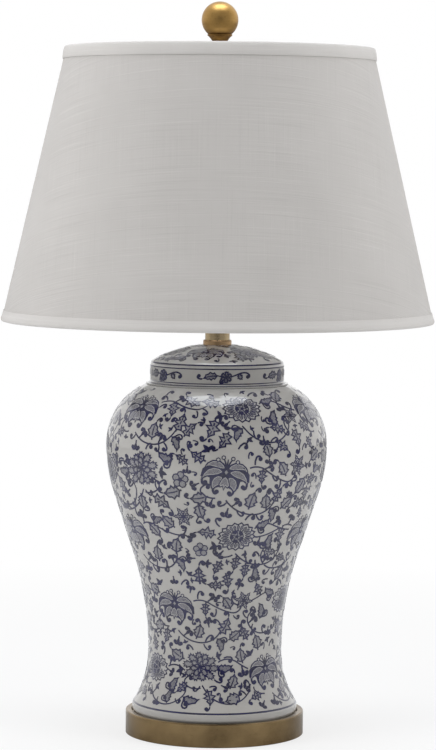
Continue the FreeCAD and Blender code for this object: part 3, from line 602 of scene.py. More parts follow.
# painted light: the cover's own linen, coloured lighter for the light that the folded trims catch
LIT_TRIM_LINEN = Linen("trim_linen_painted_light", (0.65, 0.63, 0.61), (0.52, 0.502, 0.483), slub=0.6)
STYRENE = Moulded("white_styrene", (0.82, 0.81, 0.79), (0.76, 0.75, 0.725), 0.5)
ENAMEL_WIRE = Moulded("white_enamel_wire", (0.66, 0.65, 0.62), (0.5, 0.48, 0.445), 0.35)
ZINC = Metal("zinc_steel", (0.52, 0.52, 0.54), 0.38)
ALUMINIUM = Metal("bare_aluminium", (0.66, 0.66, 0.67), 0.3)
BLACK_MOULDING = Moulded("black_moulding", (0.022, 0.021, 0.02), (0.05, 0.046, 0.042), 0.32)
BLACK_RUBBER = Moulded("black_rubber", (0.028, 0.027, 0.026), (0.06, 0.056, 0.05), 0.68)
GREY_BOARD = Moulded("grey_board", (0.28, 0.265, 0.24), (0.2, 0.19, 0.17), 0.85, 700.0)
GREEN_FELT = Felt("green_felt", (0.028, 0.085, 0.05), (0.055, 0.14, 0.085))
FROSTED_GLASS = Frosted("frosted_glass", (0.70, 0.70, 0.68), (0.62, 0.62, 0.60))

NODE_FINISHES: dict[Finish, tuple[str, ...]] = {
    ANTIQUE_BRASS: ("base_cup",),
    AGED_BRASS: ("finial",),
    POLISHED_BRASS: ("neck_tube", "harp_saddle", "harp", "harp_ferrule_left",
                     "harp_ferrule_right", "harp_stud", "socket_cap", "socket_shell",
                     "centre_contact", "switch_shaft"),
    COPPERY_BRASS: ("neck_ring",),
    GLAZE: ("jar_body", "lid"),
    STYRENE: ("shade_liner",),
    ENAMEL_WIRE: ("bottom_ring", "top_ring", "spider_arms", "spider_washer"),
    ZINC: ("threaded_rod", "rod_washer", "rod_nut", "lock_nut", "socket_set_screw"),
    ALUMINIUM: ("screw_shell", "bulb_cap"),
    BLACK_MOULDING: ("socket_core", "switch_knob"),
    BLACK_RUBBER: ("cord_bushing", "jar_seat_washer", "lid_seat_ring", "cushion_washer"),
    GREY_BOARD: ("insulating_sleeve",),
    GREEN_FELT: ("felt_pad",),
    FROSTED_GLASS: ("bulb_glass",),
}


# ------------------------------------------------------------------ making pieces


SHARPEST_BEND = math.radians(50)


def show(name: str, data: bpy.types.ID) -> bpy.types.Object:
    """Puts a new object in the scene.

    Args:
        name: its name.
        data: its mesh, lamp or camera data.

    Returns:
        The object.
    """
    shown = bpy.data.objects.new(name, data)
    bpy.context.scene.collection.objects.link(shown)
    return shown


def add_piece(name: str, bm: bmesh.types.BMesh, body: str) -> bpy.types.Object:
    """Makes a bmesh a piece that rides on a body, shaded smooth but for its sharp edges.

    Args:
        name: the piece's name.
        bm: its geometry, which is freed.
        body: the body that it moves with.

    Returns:
        The new object.
    """
    mesh = bpy.data.meshes.new(name)
    bm.to_mesh(mesh)
    bm.free()
    mesh.polygons.foreach_set("use_smooth", [True] * len(mesh.polygons))
    mesh.set_sharp_from_angle(angle=SHARPEST_BEND)
    piece = show(name, mesh)
    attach(piece, body)
    LOG.info("%s: %d faces", name, len(mesh.polygons))
    return piece


# ------------------------------------------------------------------ the surface to paint on


@dataclass
class Skin:
    """The outside of a turned node, unrolled: an angle round it and a run up its profile."""

    radii: np.ndarray
    heights: np.ndarray
    runs: np.ndarray = field(init=False)
    leans: np.ndarray = field(init=False)

    def __post_init__(self) -> None:
        """Works out the run up the profile and the way the surface faces."""
        steps = np.hypot(np.diff(self.radii), np.diff(self.heights))
        self.runs = np.concatenate([[0.0], np.cumsum(steps)])
        out = np.gradient(self.heights, self.runs)
        up = -np.gradient(self.radii, self.runs)
        self.leans = np.stack([out, up], axis=1) / np.hypot(out, up)[:, None]

    @classmethod
    def cast(cls, node: str, starts: Iterable[Vector], toward: Vector) -> "Skin":
        """Finds a node's outside profile with rays in the plane y = 0.

        Args:
            node: the frame's node.
            starts: where the rays begin, in metres, in the order of the profile.
            toward: the direction of all of them.

        Returns:
            The skin, in millimetres.
        """
        bm = bmesh.new()
        bm.from_mesh(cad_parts[node].data)
        tree = BVHTree.FromBMesh(bm)
        hits = [tree.ray_cast(start, toward)[0] for start in starts]
        bm.free()
        places = [hit for hit in hits if hit is not None]
        return cls(np.array([abs(hit.x) / MM for hit in places]),
                   np.array([hit.z / MM for hit in places]))

    def radius_at(self, run: float) -> float:
        """The radius at a run up the profile."""
        return float(np.interp(run, self.runs, self.radii))

    def run_at(self, height: float) -> float:
        """The run up the profile at a height."""
        return float(np.interp(height, self.heights, self.runs))

    def wrap(self, flat: np.ndarray, angle: float, run: float) -> np.ndarray:
        """Lays flat points on the skin.

        Args:
            flat: rows of across, up and lift in millimetres.
            angle: where across 0 goes, in radians from the front.
            run: where up 0 goes.

        Returns:
            Rows of x, y and z in metres.
        """
        runs = run + flat[:, 1]
        radii = np.interp(runs, self.runs, self.radii)
        turns = angle + flat[:, 0] / radii
        out = radii + flat[:, 2] * np.interp(runs, self.runs, self.leans[:, 0])
        up = np.interp(runs, self.runs, self.heights)
        up = up + flat[:, 2] * np.interp(runs, self.runs, self.leans[:, 1])
        return np.stack([out * np.sin(turns), -out * np.cos(turns), up], axis=1) * MM


# ------------------------------------------------------------------ drawing the motifs


class Tone(enum.Enum):
    """How much blue a painted face carries."""

    LINE = 1.0
    WASH = 0.72
    HATCH = 0.52
    BARE = 0.0


class Form(enum.Enum):
    """Outlines of leaves and petals: how wide they are at shares of their length."""

    PETAL = ((0.08, 0.42), (0.22, 0.82), (0.42, 1.0), (0.62, 0.86), (0.8, 0.55), (0.92, 0.28))
    LOBE = ((0.06, 0.3), (0.25, 0.68), (0.5, 0.96), (0.72, 1.0), (0.88, 0.74), (0.97, 0.38))
    LEAF = ((0.05, 0.3), (0.18, 0.84), (0.28, 0.62), (0.44, 1.0), (0.55, 0.66), (0.72, 0.62),
            (0.82, 0.26))
    IVY = ((0.06, 0.28), (0.1, 0.72), (0.3, 0.4), (0.4, 1.0), (0.56, 0.38), (0.66, 0.56),
           (0.82, 0.2))
    RAGGED = ((0.1, 0.32), (0.28, 0.66), (0.32, 0.42), (0.52, 0.98), (0.56, 0.64), (0.78, 1.0),
              (0.76, 0.62), (0.96, 0.66), (0.88, 0.26))


MOST_TURN = 40  # degrees in one step of a path


def trail(start: Point, heading: float, legs: Sequence[tuple[float, float]],
          stride: float = 2.2) -> list[Point]:
    """Walks a path of arcs.

    Args:
        start: where it begins.
        heading: the first direction, in degrees from the right, anticlockwise.
        legs: the length and the turn in degrees of each arc.
        stride: the longest step.

    Returns:
        The path's points.
    """
    points, course = [start], math.radians(heading)
    for length, turn in legs:
        strides = max(2, round(length / stride), round(abs(turn) / MOST_TURN))
        swing = math.radians(turn) / strides
        for _ in range(strides):
            points.append(points[-1] + cmath.rect(length / strides, course + swing / 2))
            course += swing
    return points


def edge_points(path: Sequence[Point], place: float, half: float) -> tuple[Point, Point]:
    """The points to the left and right of a path.

    Args:
        path: the points of the path.
        place: a share of its length.
        half: how far out the two points are.

    Returns:
        The left and the right point.
    """
    last = len(path) - 1
    number = min(int(place * last), last - 1)
    step = path[number + 1] - path[number]
    middle = path[number] + step * (place * last - number)
    around = path[min(number + 2, last)] - path[max(number - 1, 0)]
    across = 1j * (step + around) / abs(step + around) * half
    return middle + across, middle - across


def mirrored(points: Iterable[Point]) -> list[Point]:
    """Points turned over left to right."""
    return [-point.conjugate() for point in points]


def both_sides(half: Sequence[Point]) -> list[Point]:
    """A closed outline from its right half, whose ends lie on the middle line."""
    return [*half, *mirrored(half[-2:0:-1])]


@dataclass
class Motif:
    """A flat drawing with thickness, ready to be laid on a skin."""

    mesh: bpy.types.Mesh
    footprint: tuple[Triple, ...]

    def coordinates(self) -> np.ndarray:
        """Reads the drawing's points.

        Returns:
            One row for each point.
        """
        points = np.empty(len(self.mesh.vertices) * 3)
        self.mesh.vertices.foreach_get("co", points)
        return points.reshape(-1, 3)


class Brush:
    """Draws blue shapes on a flat sheet, in millimetres, each a hair above the one before."""

    LIFT = 0.16
    STEP = 0.010
    THICKNESS = 0.40
    LONGEST_EDGE = 6.0
    SHARPEST_INSET = 1.9
    SLICE_MERGE = 0.01
    CURL_ARCS = ((0.55, 40), (0.45, 165))
    CURL_STRIDE = 3.5
    CURL_TIP = 2.8
    CURL_END = 2.3

    def __init__(self, level: float = LIFT) -> None:
        """Starts on an empty sheet.

        Args:
            level: its height above the skin.
        """
        self.bm = bmesh.new()
        self.tone = self.bm.faces.layers.float.new("tone")
        self.level = level

    def vert(self, point: Point) -> bmesh.types.BMVert:
        """A new point at the present level."""
        return self.bm.verts.new((point.real, point.imag, self.level))

    def fill(self, edge: Sequence[Point], inner: Tone, line: float = 0.0,
             bare: float = 0.0) -> None:
        """Paints a closed shape.

        Args:
            edge: its outline.
            inner: the tone inside.
            line: the width of a full line along the edge.
            bare: the width of an unpainted line inside that one.
        """
        face = self.bm.faces.new([self.vert(point) for point in edge])
        face.normal_update()
        if face.normal.z < 0:
            face.normal_flip()
        for width, tone in ((line, Tone.LINE), (bare, Tone.BARE)):
            if width:
                self.inset(face, width, tone)
        face[self.tone] = inner.value
        self.level += self.STEP

    def inset(self, face: bmesh.types.BMFace, width: float, tone: Tone) -> None:
        """Draws a line inside a face's edge, held in at its sharp corners.

        Args:
            face: the face, which becomes the part within the line.
            width: the line's width.
            tone: the line's tone.
        """
        rims = bmesh.ops.inset_individual(self.bm, faces=[face], thickness=width,
                                          use_even_offset=True)["faces"]
        for rim in rims:
            rim[self.tone] = tone.value
        for vert in face.verts:
            outer = next(edge.other_vert(vert) for edge in vert.link_edges
                         if face not in edge.link_faces)
            move = vert.co - outer.co
            most = width * self.SHARPEST_INSET
            if move.length > most:
                vert.co = outer.co + move * (most / move.length)

    def disc(self, centre: Point, radius: float, inner: Tone = Tone.LINE, line: float = 0.0,
             corners: int = 7) -> None:
        """Paints a round spot.

        Args:
            centre: its middle.
            radius: its radius.
            inner: the tone inside.
            line: the width of a full line along the edge.
            corners: how many corners it has.
        """
        step = FULL_TURN / corners
        self.fill([centre + cmath.rect(radius, step * corner) for corner in range(corners)],
                  inner, line)

    def stroke(self, path: Sequence[Point], start: float, end: float,
               tone: Tone = Tone.LINE) -> None:
        """Draws a line whose width changes evenly.

        Args:
            path: the points that it follows.
            start: its width at the first point.
            end: its width at the last point.
            tone: its tone.
        """
        last = len(path) - 1
        pairs = [edge_points(path, number / last, (start + (end - start) * number / last) / 2)
                 for number in range(last + 1)]
        tips = [self.vert(point) for point in pairs[0]]
        for pair in pairs[1:]:
            edge = self.bm.edges.get(tips) or self.bm.edges.new(tips)
            grown = bmesh.ops.extrude_edge_only(self.bm, edges=[edge])["geom"]
            fresh = [item for item in grown if isinstance(item, bmesh.types.BMVert)]
            fresh.sort(key=lambda vert: vert.co.xy != tips[0].co.xy)
            for vert, point in zip(fresh, pair):
                vert.co.xy = (point.real, point.imag)
            for face in fresh[0].link_faces:
                face[self.tone] = tone.value
            tips = fresh
        self.level += self.STEP

    def blade(self, path: Sequence[Point], width: float, form: Form, inner: Tone,
              line: float = 0.75, bare: float = 0.0) -> None:
        """Paints a leaf or petal along a path.

        Args:
            path: its midrib.
            width: its greatest width.
            form: its outline.
            inner: the tone inside.
            line: the width of the full line along its edge.
            bare: the width of the unpainted line inside that.
        """
        pairs = [edge_points(path, place, share * width / 2) for place, share in form.value]
        self.fill([path[0], *(right for _, right in pairs), path[-1],
                   *(left for left, _ in reversed(pairs))], inner, line, bare)

    def curl(self, start: Point, heading: float, size: float, hand: int,
             foot: float = 1.6) -> None:
        """Draws a hook that thickens to a round end.

        Args:
            start: where it leaves its stem.
            heading: the direction there, in degrees.
            size: its length along the line.
            hand: 1 to turn left, -1 to turn right.
            foot: its width at the start.
        """
        arcs = [(size * share, turn * hand) for share, turn in self.CURL_ARCS]
        path = trail(start, heading, arcs, self.CURL_STRIDE)
        self.stroke(path, foot, self.CURL_TIP)
        self.disc(path[-1], self.CURL_END)

    def finish(self, name: str, *footprint: Triple) -> Motif:
        """Cuts the shapes fine enough for a curved skin and gives them thickness.

        Args:
            name: the name of the mesh.
            footprint: circles that the drawing covers, as across, up and radius.

        Returns:
            The motif.
        """
        bm = self.bm
        bmesh.ops.triangulate(bm, faces=[face for face in bm.faces if len(face.verts) > 4])
        for normal in (Vector((1, 0, 0)), Vector((0, 1, 0))):
            reaches = [vert.co.dot(normal) for vert in bm.verts]
            low, high = min(reaches), max(reaches)
            slices = math.ceil((high - low) / self.LONGEST_EDGE)
            for cut in range(1, slices):
                bmesh.ops.bisect_plane(bm, geom=bm.verts[:] + bm.edges[:] + bm.faces[:],
                                       dist=self.SLICE_MERGE, plane_no=normal,
                                       plane_co=normal * (low + (high - low) * cut / slices))
        grown = bmesh.ops.extrude_face_region(bm, geom=bm.faces[:], use_keep_orig=True)["geom"]
        under = [item for item in grown if isinstance(item, bmesh.types.BMVert)]
        bmesh.ops.translate(bm, verts=under, vec=(0, 0, -self.THICKNESS))
        bmesh.ops.recalc_face_normals(bm, faces=bm.faces[:])
        drawing = bm.loops.layers.uv.new("drawing")
        for face in bm.faces:
            for loop in face.loops:
                loop[drawing].uv = loop.vert.co.xy
        mesh = bpy.data.meshes.new(name)
        bm.to_mesh(mesh)
        bm.free()
        return Motif(mesh, footprint)


@dataclass(frozen=True)
class Ring:
    """A ring of petals: the direction and length of each, and what all of them share."""

    petals: tuple[tuple[float, float], ...]
    hub: float
    lean: float
    bend: float
    width: float
    line: float


class Garden:
    """The motifs of a scrolling flower ornament, drawn point by point in millimetres."""

    LOTUS_HALF = (6j, 9 + 10j, 17 + 8j, 23 + 2j, 24 - 6j, 19 - 5j, 15 - 6j, 14 - 13j, 10 - 16j,
                  -12j)
    LOTUS_BELL = (-2j, 3.4 - 5j, 5.6 - 11j, 3.8 - 14.5j, 1.6 - 13j, -17j)
    LOTUS_HEART = (5j, 3 + 1.5j, -2j, -3 + 1.5j)
    STAMENS = ((16, 10), (46, 11))
    DAISY_POINTS = 34
    DAISY_RAYS = 22
    DAISY_STRETCH = 1.28
    PEONY_RINGS = (
        Ring(((-72, 15), (-36, 19), (0, 20), (34, 18), (70, 15), (104, 16), (140, 18),
              (176, 20), (212, 19), (250, 16)),
             hub=1.5, lean=-10, bend=20, width=9.6, line=1.2),
        Ring(tuple((turn, 12.5) for turn in (-54, -8, 46, 92, 148, 190, 236)),
             hub=0.0, lean=10, bend=-20, width=8.0, line=1.1),
        Ring(tuple((turn, 7.0) for turn in (-20, 70, 160, 250)),
             hub=0.0, lean=0, bend=24, width=5.6, line=1.0))

    def lotus(self) -> Motif:
        """A big dark blossom: drooping petals with hooked tips, and stamens above.

        Returns:
            The motif.
        """
        brush = Brush()
        brush.fill(both_sides(self.LOTUS_HALF), Tone.LINE)
        for flip in (list, mirrored):
            hand = -1 if flip is list else 1
            upper = flip(trail(1 + 4j, 42, [(11, -38), (12, -60)]))
            middle = flip(trail(2 + 1j, 10, [(13, -30), (12, -58)]))
            lower = flip(trail(2 - 3j, -30, [(8, -26), (10, -40)]))
            brush.blade(upper, 8.4, Form.PETAL, Tone.WASH, 1.3, 0.55)
            for petal, width, hook in ((middle, 9.5, 10.0), (lower, 10.5, 9.0)):
                way = math.degrees(cmath.phase(petal[-1] - petal[-2]))
                brush.curl(petal[-2], way, hook, hand, 2.2)
                brush.blade(petal, width, Form.PETAL, Tone.WASH, 1.5, 0.55)
            for lean, length in self.STAMENS:
                stalk = flip(trail(0.6 + 6j, 90 - lean, [(length, -16)]))
                brush.stroke(stalk, 1.8, 1.0)
                brush.disc(stalk[-1], 2.3, Tone.BARE, 0.9)
        brush.fill(both_sides(self.LOTUS_BELL), Tone.WASH, 1.0, 0.6)
        brush.fill(self.LOTUS_HEART, Tone.HATCH, 0.9)
        brush.stroke([5j, 9j, 14j], 1.8, 0.9)
        return brush.finish("lotus", (0, -2, 24), (0, 14, 9))

    def chrysanthemum(self) -> Motif:
        """A round flower with a zigzag edge, fine rays and a scrolled heart.

        Returns:
            The motif.
        """
        brush = Brush()
        edge = [cmath.rect(1.0 if number % 2 else 0.86, FULL_TURN * number / self.DAISY_POINTS)
                for number in range(self.DAISY_POINTS)]
        brush.fill([complex(20.5 * point.real, 16 * point.imag) for point in edge],
                   Tone.BARE, 1.4)
        for number in range(self.DAISY_RAYS):
            way = cmath.rect(1.0, FULL_TURN * number / self.DAISY_RAYS)
            root, tip = (complex(size * way.real * self.DAISY_STRETCH, size * way.imag)
                         for size in (6.4, 12.6))
            brush.blade([root, root * 0.5 + tip * 0.5, tip], 2.9, Form.LOBE, Tone.WASH, 0.7)
        brush.disc(0j, 7.2, Tone.HATCH, 1.0, 14)
        for turn in range(0, 360, 72):
            brush.curl(cmath.rect(1.5, math.radians(turn)), turn, 7.5, 1, 0.7)
        brush.disc(0j, 1.8)
        return brush.finish("chrysanthemum", (0, 0, 18.5))

    def peony(self) -> Motif:
        """A ragged flower of three rings of notched petals, finely dotted.

        Returns:
            The motif.
        """
        brush = Brush()
        for ring in self.PEONY_RINGS:
            for turn, length in ring.petals:
                path = trail(cmath.rect(ring.hub, math.radians(turn)), turn + ring.lean,
                             [(length, ring.bend)])
                brush.blade(path, ring.width, Form.RAGGED, Tone.HATCH, ring.line)
        brush.disc(0j, 2.1)
        return brush.finish("peony", (0, 0, 18))

    def star_flower(self) -> Motif:
        """Six pointed petals about a dark heart.

        Returns:
            The motif.
        """
        brush = Brush()
        for turn in range(0, 360, 60):
            start = cmath.rect(1.0, math.radians(turn))
            brush.blade(trail(start, turn - 6, [(11, 12)]), 7.8, Form.IVY, Tone.HATCH, 1.05)
        brush.disc(0j, 2.6)
        return brush.finish("star_flower", (0, 0, 10.5))

    def small_flower(self) -> Motif:
        """Five round lobes.

        Returns:
            The motif.
        """
        brush = Brush()
        for turn in range(18, 360, 72):
            brush.disc(cmath.rect(4.4, math.radians(turn)), 3.8, Tone.HATCH, 1.1, 8)
        brush.disc(0j, 2.0)
        return brush.finish("small_flower", (0, 0, 8.0))

    def leaf(self, bend: float, size: float, form: Form) -> Motif:
        """A notched leaf on a short stalk, with a midrib that ends in a hook.

        Args:
            bend: how far it bends along its length, in degrees.
            size: its length.
            form: its outline.

        Returns:
            The motif, which grows up from its stalk.
        """
        brush = Brush()
        path = trail(1.5j, 90 - bend / 2, [(size, bend)], size / 5)
        brush.blade(path, size * 0.84, form, Tone.HATCH, 1.5)
        brush.stroke([0j, *path[1:-1]], 1.8, 1.0)
        brush.curl(path[-1], 90 + bend / 2, 8.0, 1 if bend > 0 else -1, 1.5)
        return brush.finish("leaf", (0, size * 0.5, size * 0.37),
                            (-math.copysign(2.0, bend), size + 2.0, 2.8))

    def tailed_leaf(self, hand: int) -> Motif:
        """A dark half leaf whose tail winds back in a spiral.

        Args:
            hand: 1 for a tail on the left, -1 for one on the right.

        Returns:
            The motif.
        """
        brush = Brush()
        rib = trail(1j, 90 + 30 * hand, [(9, -35 * hand), (9, -45 * hand)], 3.2)
        brush.blade(rib, 10.0, Form.LEAF, Tone.WASH, 1.5)
        tail = trail(0.5j, 90 + 60 * hand, [(7, 40 * hand), (7, -120 * hand),
                                            (6, -170 * hand)], 2.4)
        brush.stroke(tail, 1.4, 2.4)
        brush.disc(tail[-1], 2.1)
        return brush.finish("tailed_leaf", (-2.5 * hand, 9, 6.0), (-7 * hand, 3, 4.0))

    def curl(self, size: float, hand: int) -> Motif:
        """A single hook.

        Args:
            size: its length.
            hand: 1 to turn left, -1 to turn right.

        Returns:
            The motif.
        """
        brush = Brush()
        brush.curl(0j, 90, size, hand)
        return brush.finish("curl", (-hand * size * 0.22, size * 0.36, size * 0.36))

    def fork(self) -> Motif:
        """Two hooks that part from one stalk, with a bud between them.

        Returns:
            The motif.
        """
        brush = Brush()
        brush.stroke([0j, 1.5j, 3j], 1.5, 1.8)
        for hand in (1, -1):
            brush.curl(2.5j, 90 - 14 * hand, 11.0, hand)
        brush.blade(trail(3j, 90, [(7, 0)], 3), 3.6, Form.PETAL, Tone.LINE, 0.0)
        return brush.finish("fork", (0, 4.5, 5.8))

    def bud(self) -> Motif:
        """A small dark bud with two short arms.

        Returns:
            The motif.
        """
        brush = Brush()
        brush.blade(trail(0j, 90, [(8, 20)], 3), 3.8, Form.PETAL, Tone.LINE, 0.0)
        for hand in (1, -1):
            brush.blade(trail(1.5j, 90 + 55 * hand, [(6, 30 * hand)], 2.5), 2.8, Form.PETAL,
                        Tone.LINE, 0.0)
        return brush.finish("bud", (0, 3.4, 3.8))

    def collar_spray(self) -> Motif:
        """A flower between a curling leaf and a hooked twig with half a leaf, in one row.

        Returns:
            The motif.
        """
        brush = Brush()
        leaf = trail(-10 + 1.5j, 172, [(9, 16), (9, 20)], 3.0)
        brush.blade(leaf, 11.0, Form.LEAF, Tone.WASH, 1.5)
        brush.stroke(leaf[:-1], 1.8, 1.0)
        brush.curl(leaf[-1], 190, 9.5, -1, 1.9)
        brush.stroke(trail(-12 + 2.5j, -8, [(9, -24)]), 1.6, 1.6)
        brush.curl(-5 - 1j, 216, 8.5, 1, 1.7)
        for turn in range(20, 380, 60):
            brush.blade(trail(0j, turn, [(7.4, 12)]), 6.6, Form.RAGGED, Tone.WASH, 1.5)
        brush.disc(0j, 2.2)
        twig = trail(6 + 0.5j, 14, [(9, 8), (9, -30)], 3.0)
        brush.blade(trail(twig[3], -68, [(8.5, 24)], 2.8), 8.4, Form.LEAF, Tone.WASH, 1.5)
        brush.stroke(twig, 1.6, 1.9)
        brush.curl(twig[-1], -12, 9.5, -1, 1.9)
        return brush.finish("collar_spray", (0, 0, 7))


# ------------------------------------------------------------------ laying the ornament


@dataclass
class Spot:
    """Where and how a motif lies on a skin."""

    angle: float
    run: float
    turn: float = 0.0
    size: float = 1.0
    flipped: bool = False

    def lay(self, point: Point | np.ndarray) -> Point | np.ndarray:
        """A point of the drawing, or many, turned and sized as they lie on the skin."""
        point = -point.conjugate() if self.flipped else point
        return point * cmath.rect(self.size, self.turn)

    def lay_all(self, flat: np.ndarray) -> np.ndarray:
        """All points of a drawing, turned and sized."""
        points = self.lay(flat[:, 0] + 1j * flat[:, 1])
        return np.stack([points.real, points.imag, flat[:, 2]], axis=1)


class Room:
    """Keeps account of the circles of a skin that are painted."""

    def __init__(self, skin: Skin) -> None:
        """Starts with a bare skin."""
        self.skin = skin
        self.circles = np.empty((0, 3))

    def claim(self, *circles: Triple) -> None:
        """Marks circles as painted, each an angle, a run and a radius."""
        if circles:
            self.circles = np.vstack([self.circles, circles])

    def gap(self, angle: float, run: float) -> float:
        """The distance from a place to the nearest painted circle.

        Args:
            angle: the place's angle.
            run: its run.

        Returns:
            The distance, which is negative inside a circle.
        """
        if not len(self.circles):
            return math.inf
        turns = (self.circles[:, 0] - angle + math.pi) % FULL_TURN - math.pi
        across = turns * self.skin.radius_at(run)
        away = np.hypot(across, self.circles[:, 1] - run) - self.circles[:, 2]
        return float(away.min())


@dataclass(frozen=True)
class Margin:
    """The stretch of a skin that is painted, as runs up its profile."""

    low: float
    high: float


@dataclass(frozen=True)
class Sprig:
    """A small motif beside a large flower: its foot and the way it grows, as drawn there."""

    kind: str
    foot: Point
    heading: float
    size: float = 1.0
    flipped: bool = False


@dataclass(frozen=True)
class Filling:
    """One round of motifs that are offered at random places."""

    kind: str
    tries: int
    gap: float
    smallest: float
    largest: float


def paint(name: str, bm: bmesh.types.BMesh) -> None:
    """Makes painted shapes a piece on the porcelain.

    Args:
        name: the piece's name.
        bm: the shapes.
    """
    bmesh.ops.recalc_face_normals(bm, faces=bm.faces[:])
    BLUE.dress(add_piece(name, bm, "lamp_base"))


class Scroll:
    """An ornament that grows over one skin."""

    VINE_WIDTH = 1.6
    VINE_LIFT = 0.07
    VINE_ROOM = 0.9
    VINE_HOOK = 9.5
    VINE_CLEAR = 0.4
    VINE_POINTS = 4
    SPRIG_GAP = -1.4
    SPROUTS = (("leaves", -1.0), ("tails", -0.8), ("forks", -0.8), ("curls", -0.8))
    SPROUT_LEANS = (42, 78)
    SPROUT_SIZES = (0.85, 1.05)

    def __init__(self, name: str, skin: Skin, margin: Margin, garden: dict[str, list[Motif]],
                 seed: int) -> None:
        """Starts with bare sheets.

        Args:
            name: what its pieces' names start with.
            skin: the surface.
            margin: the stretch that is painted.
            garden: the motifs by kind.
            seed: of the random choices.
        """
        self.name = name
        self.skin = skin
        self.margin = margin
        self.garden = garden
        self.random = random.Random(seed)
        self.room = Room(skin)
        self.stems = Room(skin)
        self.sheets: dict[str, bmesh.types.BMesh] = {}

    def place_of(self, spot: Spot, point: Point) -> tuple[float, float]:
        """The angle and run of a point of a drawing.

        Args:
            spot: the drawing's place.
            point: the point.

        Returns:
            Its angle and run.
        """
        laid = spot.lay(point)
        run = spot.run + laid.imag
        return spot.angle + laid.real / self.skin.radius_at(run), run

    def circles(self, motif: Motif, spot: Spot) -> list[Triple]:
        """A motif's circles as they lie on the skin."""
        return [(*self.place_of(spot, complex(across, up)), radius * spot.size)
                for across, up, radius in motif.footprint]

    def stamp(self, kind: str, motif: Motif, spot: Spot) -> None:
        """Lays a motif on the skin and claims its room.

        Args:
            kind: the kind of motif, each of which has a sheet of its own.
            motif: the drawing.
            spot: its place.
        """
        if kind not in self.sheets:
            self.sheets[kind] = bmesh.new()
        bm = self.sheets[kind]
        first = len(bm.verts)
        bm.from_mesh(motif.mesh)
        bm.verts.ensure_lookup_table()
        laid = self.skin.wrap(spot.lay_all(motif.coordinates()), spot.angle, spot.run)
        for vert, place in zip(bm.verts[first:], laid):
            vert.co = place
        self.room.claim(*self.circles(motif, spot))

    def fits(self, motif: Motif, spot: Spot, gap: float, on_stem: bool) -> bool:
        """Whether a motif has room.

        Args:
            motif: the drawing.
            spot: where it would lie.
            gap: the space to keep round it.
            on_stem: whether it may touch a stem.

        Returns:
            Whether it fits in the margin and between what is painted.
        """
        rooms = (self.room,) if on_stem else (self.room, self.stems)
        for angle, run, reach in self.circles(motif, spot):
            if not self.margin.low <= run - reach <= run + reach <= self.margin.high:
                return False
            if any(room.gap(angle, run) < reach + gap for room in rooms):
                return False
        return True

    def offer(self, kind: str, spot: Spot, gap: float, on_stem: bool = False) -> bool:
        """Lays one of a kind's motifs if it has room.

        Args:
            kind: the kind of motif.
            spot: where it would lie.
            gap: the space to keep round it.
            on_stem: whether it may touch a stem.

        Returns:
            Whether it was laid.
        """
        motif = self.random.choice(self.garden[kind])
        fits = self.fits(motif, spot, gap, on_stem)
        if fits:
            self.stamp(kind, motif, spot)
        return fits

    def vine(self, spot: Spot, path: Sequence[Point], hand: int) -> list[Triple]:
        """Draws a stem, broken where it passes behind a flower, with a hook at its end.

        Args:
            spot: the place and turn of the drawing that it belongs to.
            path: its points there.
            hand: 1 for an end that turns left, -1 for one that turns right.

        Returns:
            The angle, run and heading of its points that show.
        """
        stretches: list[list[Point]] = [[]]
        for point in path:
            angle, run = self.place_of(spot, point)
            clear = min(self.room.gap(angle, run), self.stems.gap(angle, run))
            if self.margin.low < run < self.margin.high and clear > self.VINE_CLEAR:
                stretches[-1].append(point)
            elif stretches[-1]:
                stretches.append([])
        shown = []
        for stretch in stretches:
            if len(stretch) < self.VINE_POINTS:
                continue
            brush = Brush(self.VINE_LIFT)
            brush.stroke(stretch, self.VINE_WIDTH, self.VINE_WIDTH)
            if stretch[-1] == path[-1]:
                way = math.degrees(cmath.phase(path[-1] - path[-2]))
                brush.curl(path[-1], way, self.VINE_HOOK, hand)
            self.stamp("vines", brush.finish("vine"), spot)
            for here, there in zip(stretch, stretch[1:]):
                shown.append((*self.place_of(spot, here),
                              cmath.phase(spot.lay(there) - spot.lay(here))))
        self.stems.claim(*((angle, run, self.VINE_ROOM) for angle, run, _ in shown))
        return shown

    def sprout(self, shown: Sequence[Triple], every: int) -> None:
        """Grows leaves and hooks from a stem, on one side and the other in turn.

        Args:
            shown: the stem's points.
            every: how many points lie between two sprouts.
        """
        side = self.random.choice((1, -1))
        for angle, run, heading in shown[1::every]:
            for kind, gap in self.SPROUTS:
                lean = side * math.radians(self.random.uniform(*self.SPROUT_LEANS))
                foot = cmath.rect(self.VINE_ROOM, heading + lean)
                spot = Spot(angle + foot.real / self.skin.radius_at(run), run + foot.imag,
                            heading + lean - math.pi / 2,
                            self.random.uniform(*self.SPROUT_SIZES), side < 0)
                if self.offer(kind, spot, gap, True):
                    break
            side = -side

    def surround(self, flower: Spot, sprigs: Iterable[Sprig]) -> None:
        """Sets a flower's sprigs round it, but for those that have no room.

        Args:
            flower: the flower's place.
            sprigs: the small motifs that go with its kind.
        """
        for sprig in sprigs:
            angle, run = self.place_of(flower, sprig.foot)
            growth = flower.lay(cmath.rect(1.0, math.radians(sprig.heading)))
            spot = Spot(angle, run, cmath.phase(growth) - math.pi / 2,
                        sprig.size * flower.size, sprig.flipped != flower.flipped)
            self.offer(sprig.kind, spot, self.SPRIG_GAP, True)

    def fill_in(self, plan: Iterable[Filling]) -> None:
        """Offers motifs at random places, one kind after another.

        Args:
            plan: the kinds, with their sizes and gaps.
        """
        for filling in plan:
            laid = 0
            for _ in range(filling.tries):
                spot = Spot(self.random.uniform(-math.pi, math.pi),
                            self.random.uniform(self.margin.low, self.margin.high),
                            self.random.uniform(-math.pi, math.pi),
                            self.random.uniform(filling.smallest, filling.largest),
                            self.random.random() < 0.5)
                laid += self.offer(filling.kind, spot, filling.gap)
            LOG.info("%s: %d more %s", self.name, laid, filling.kind)

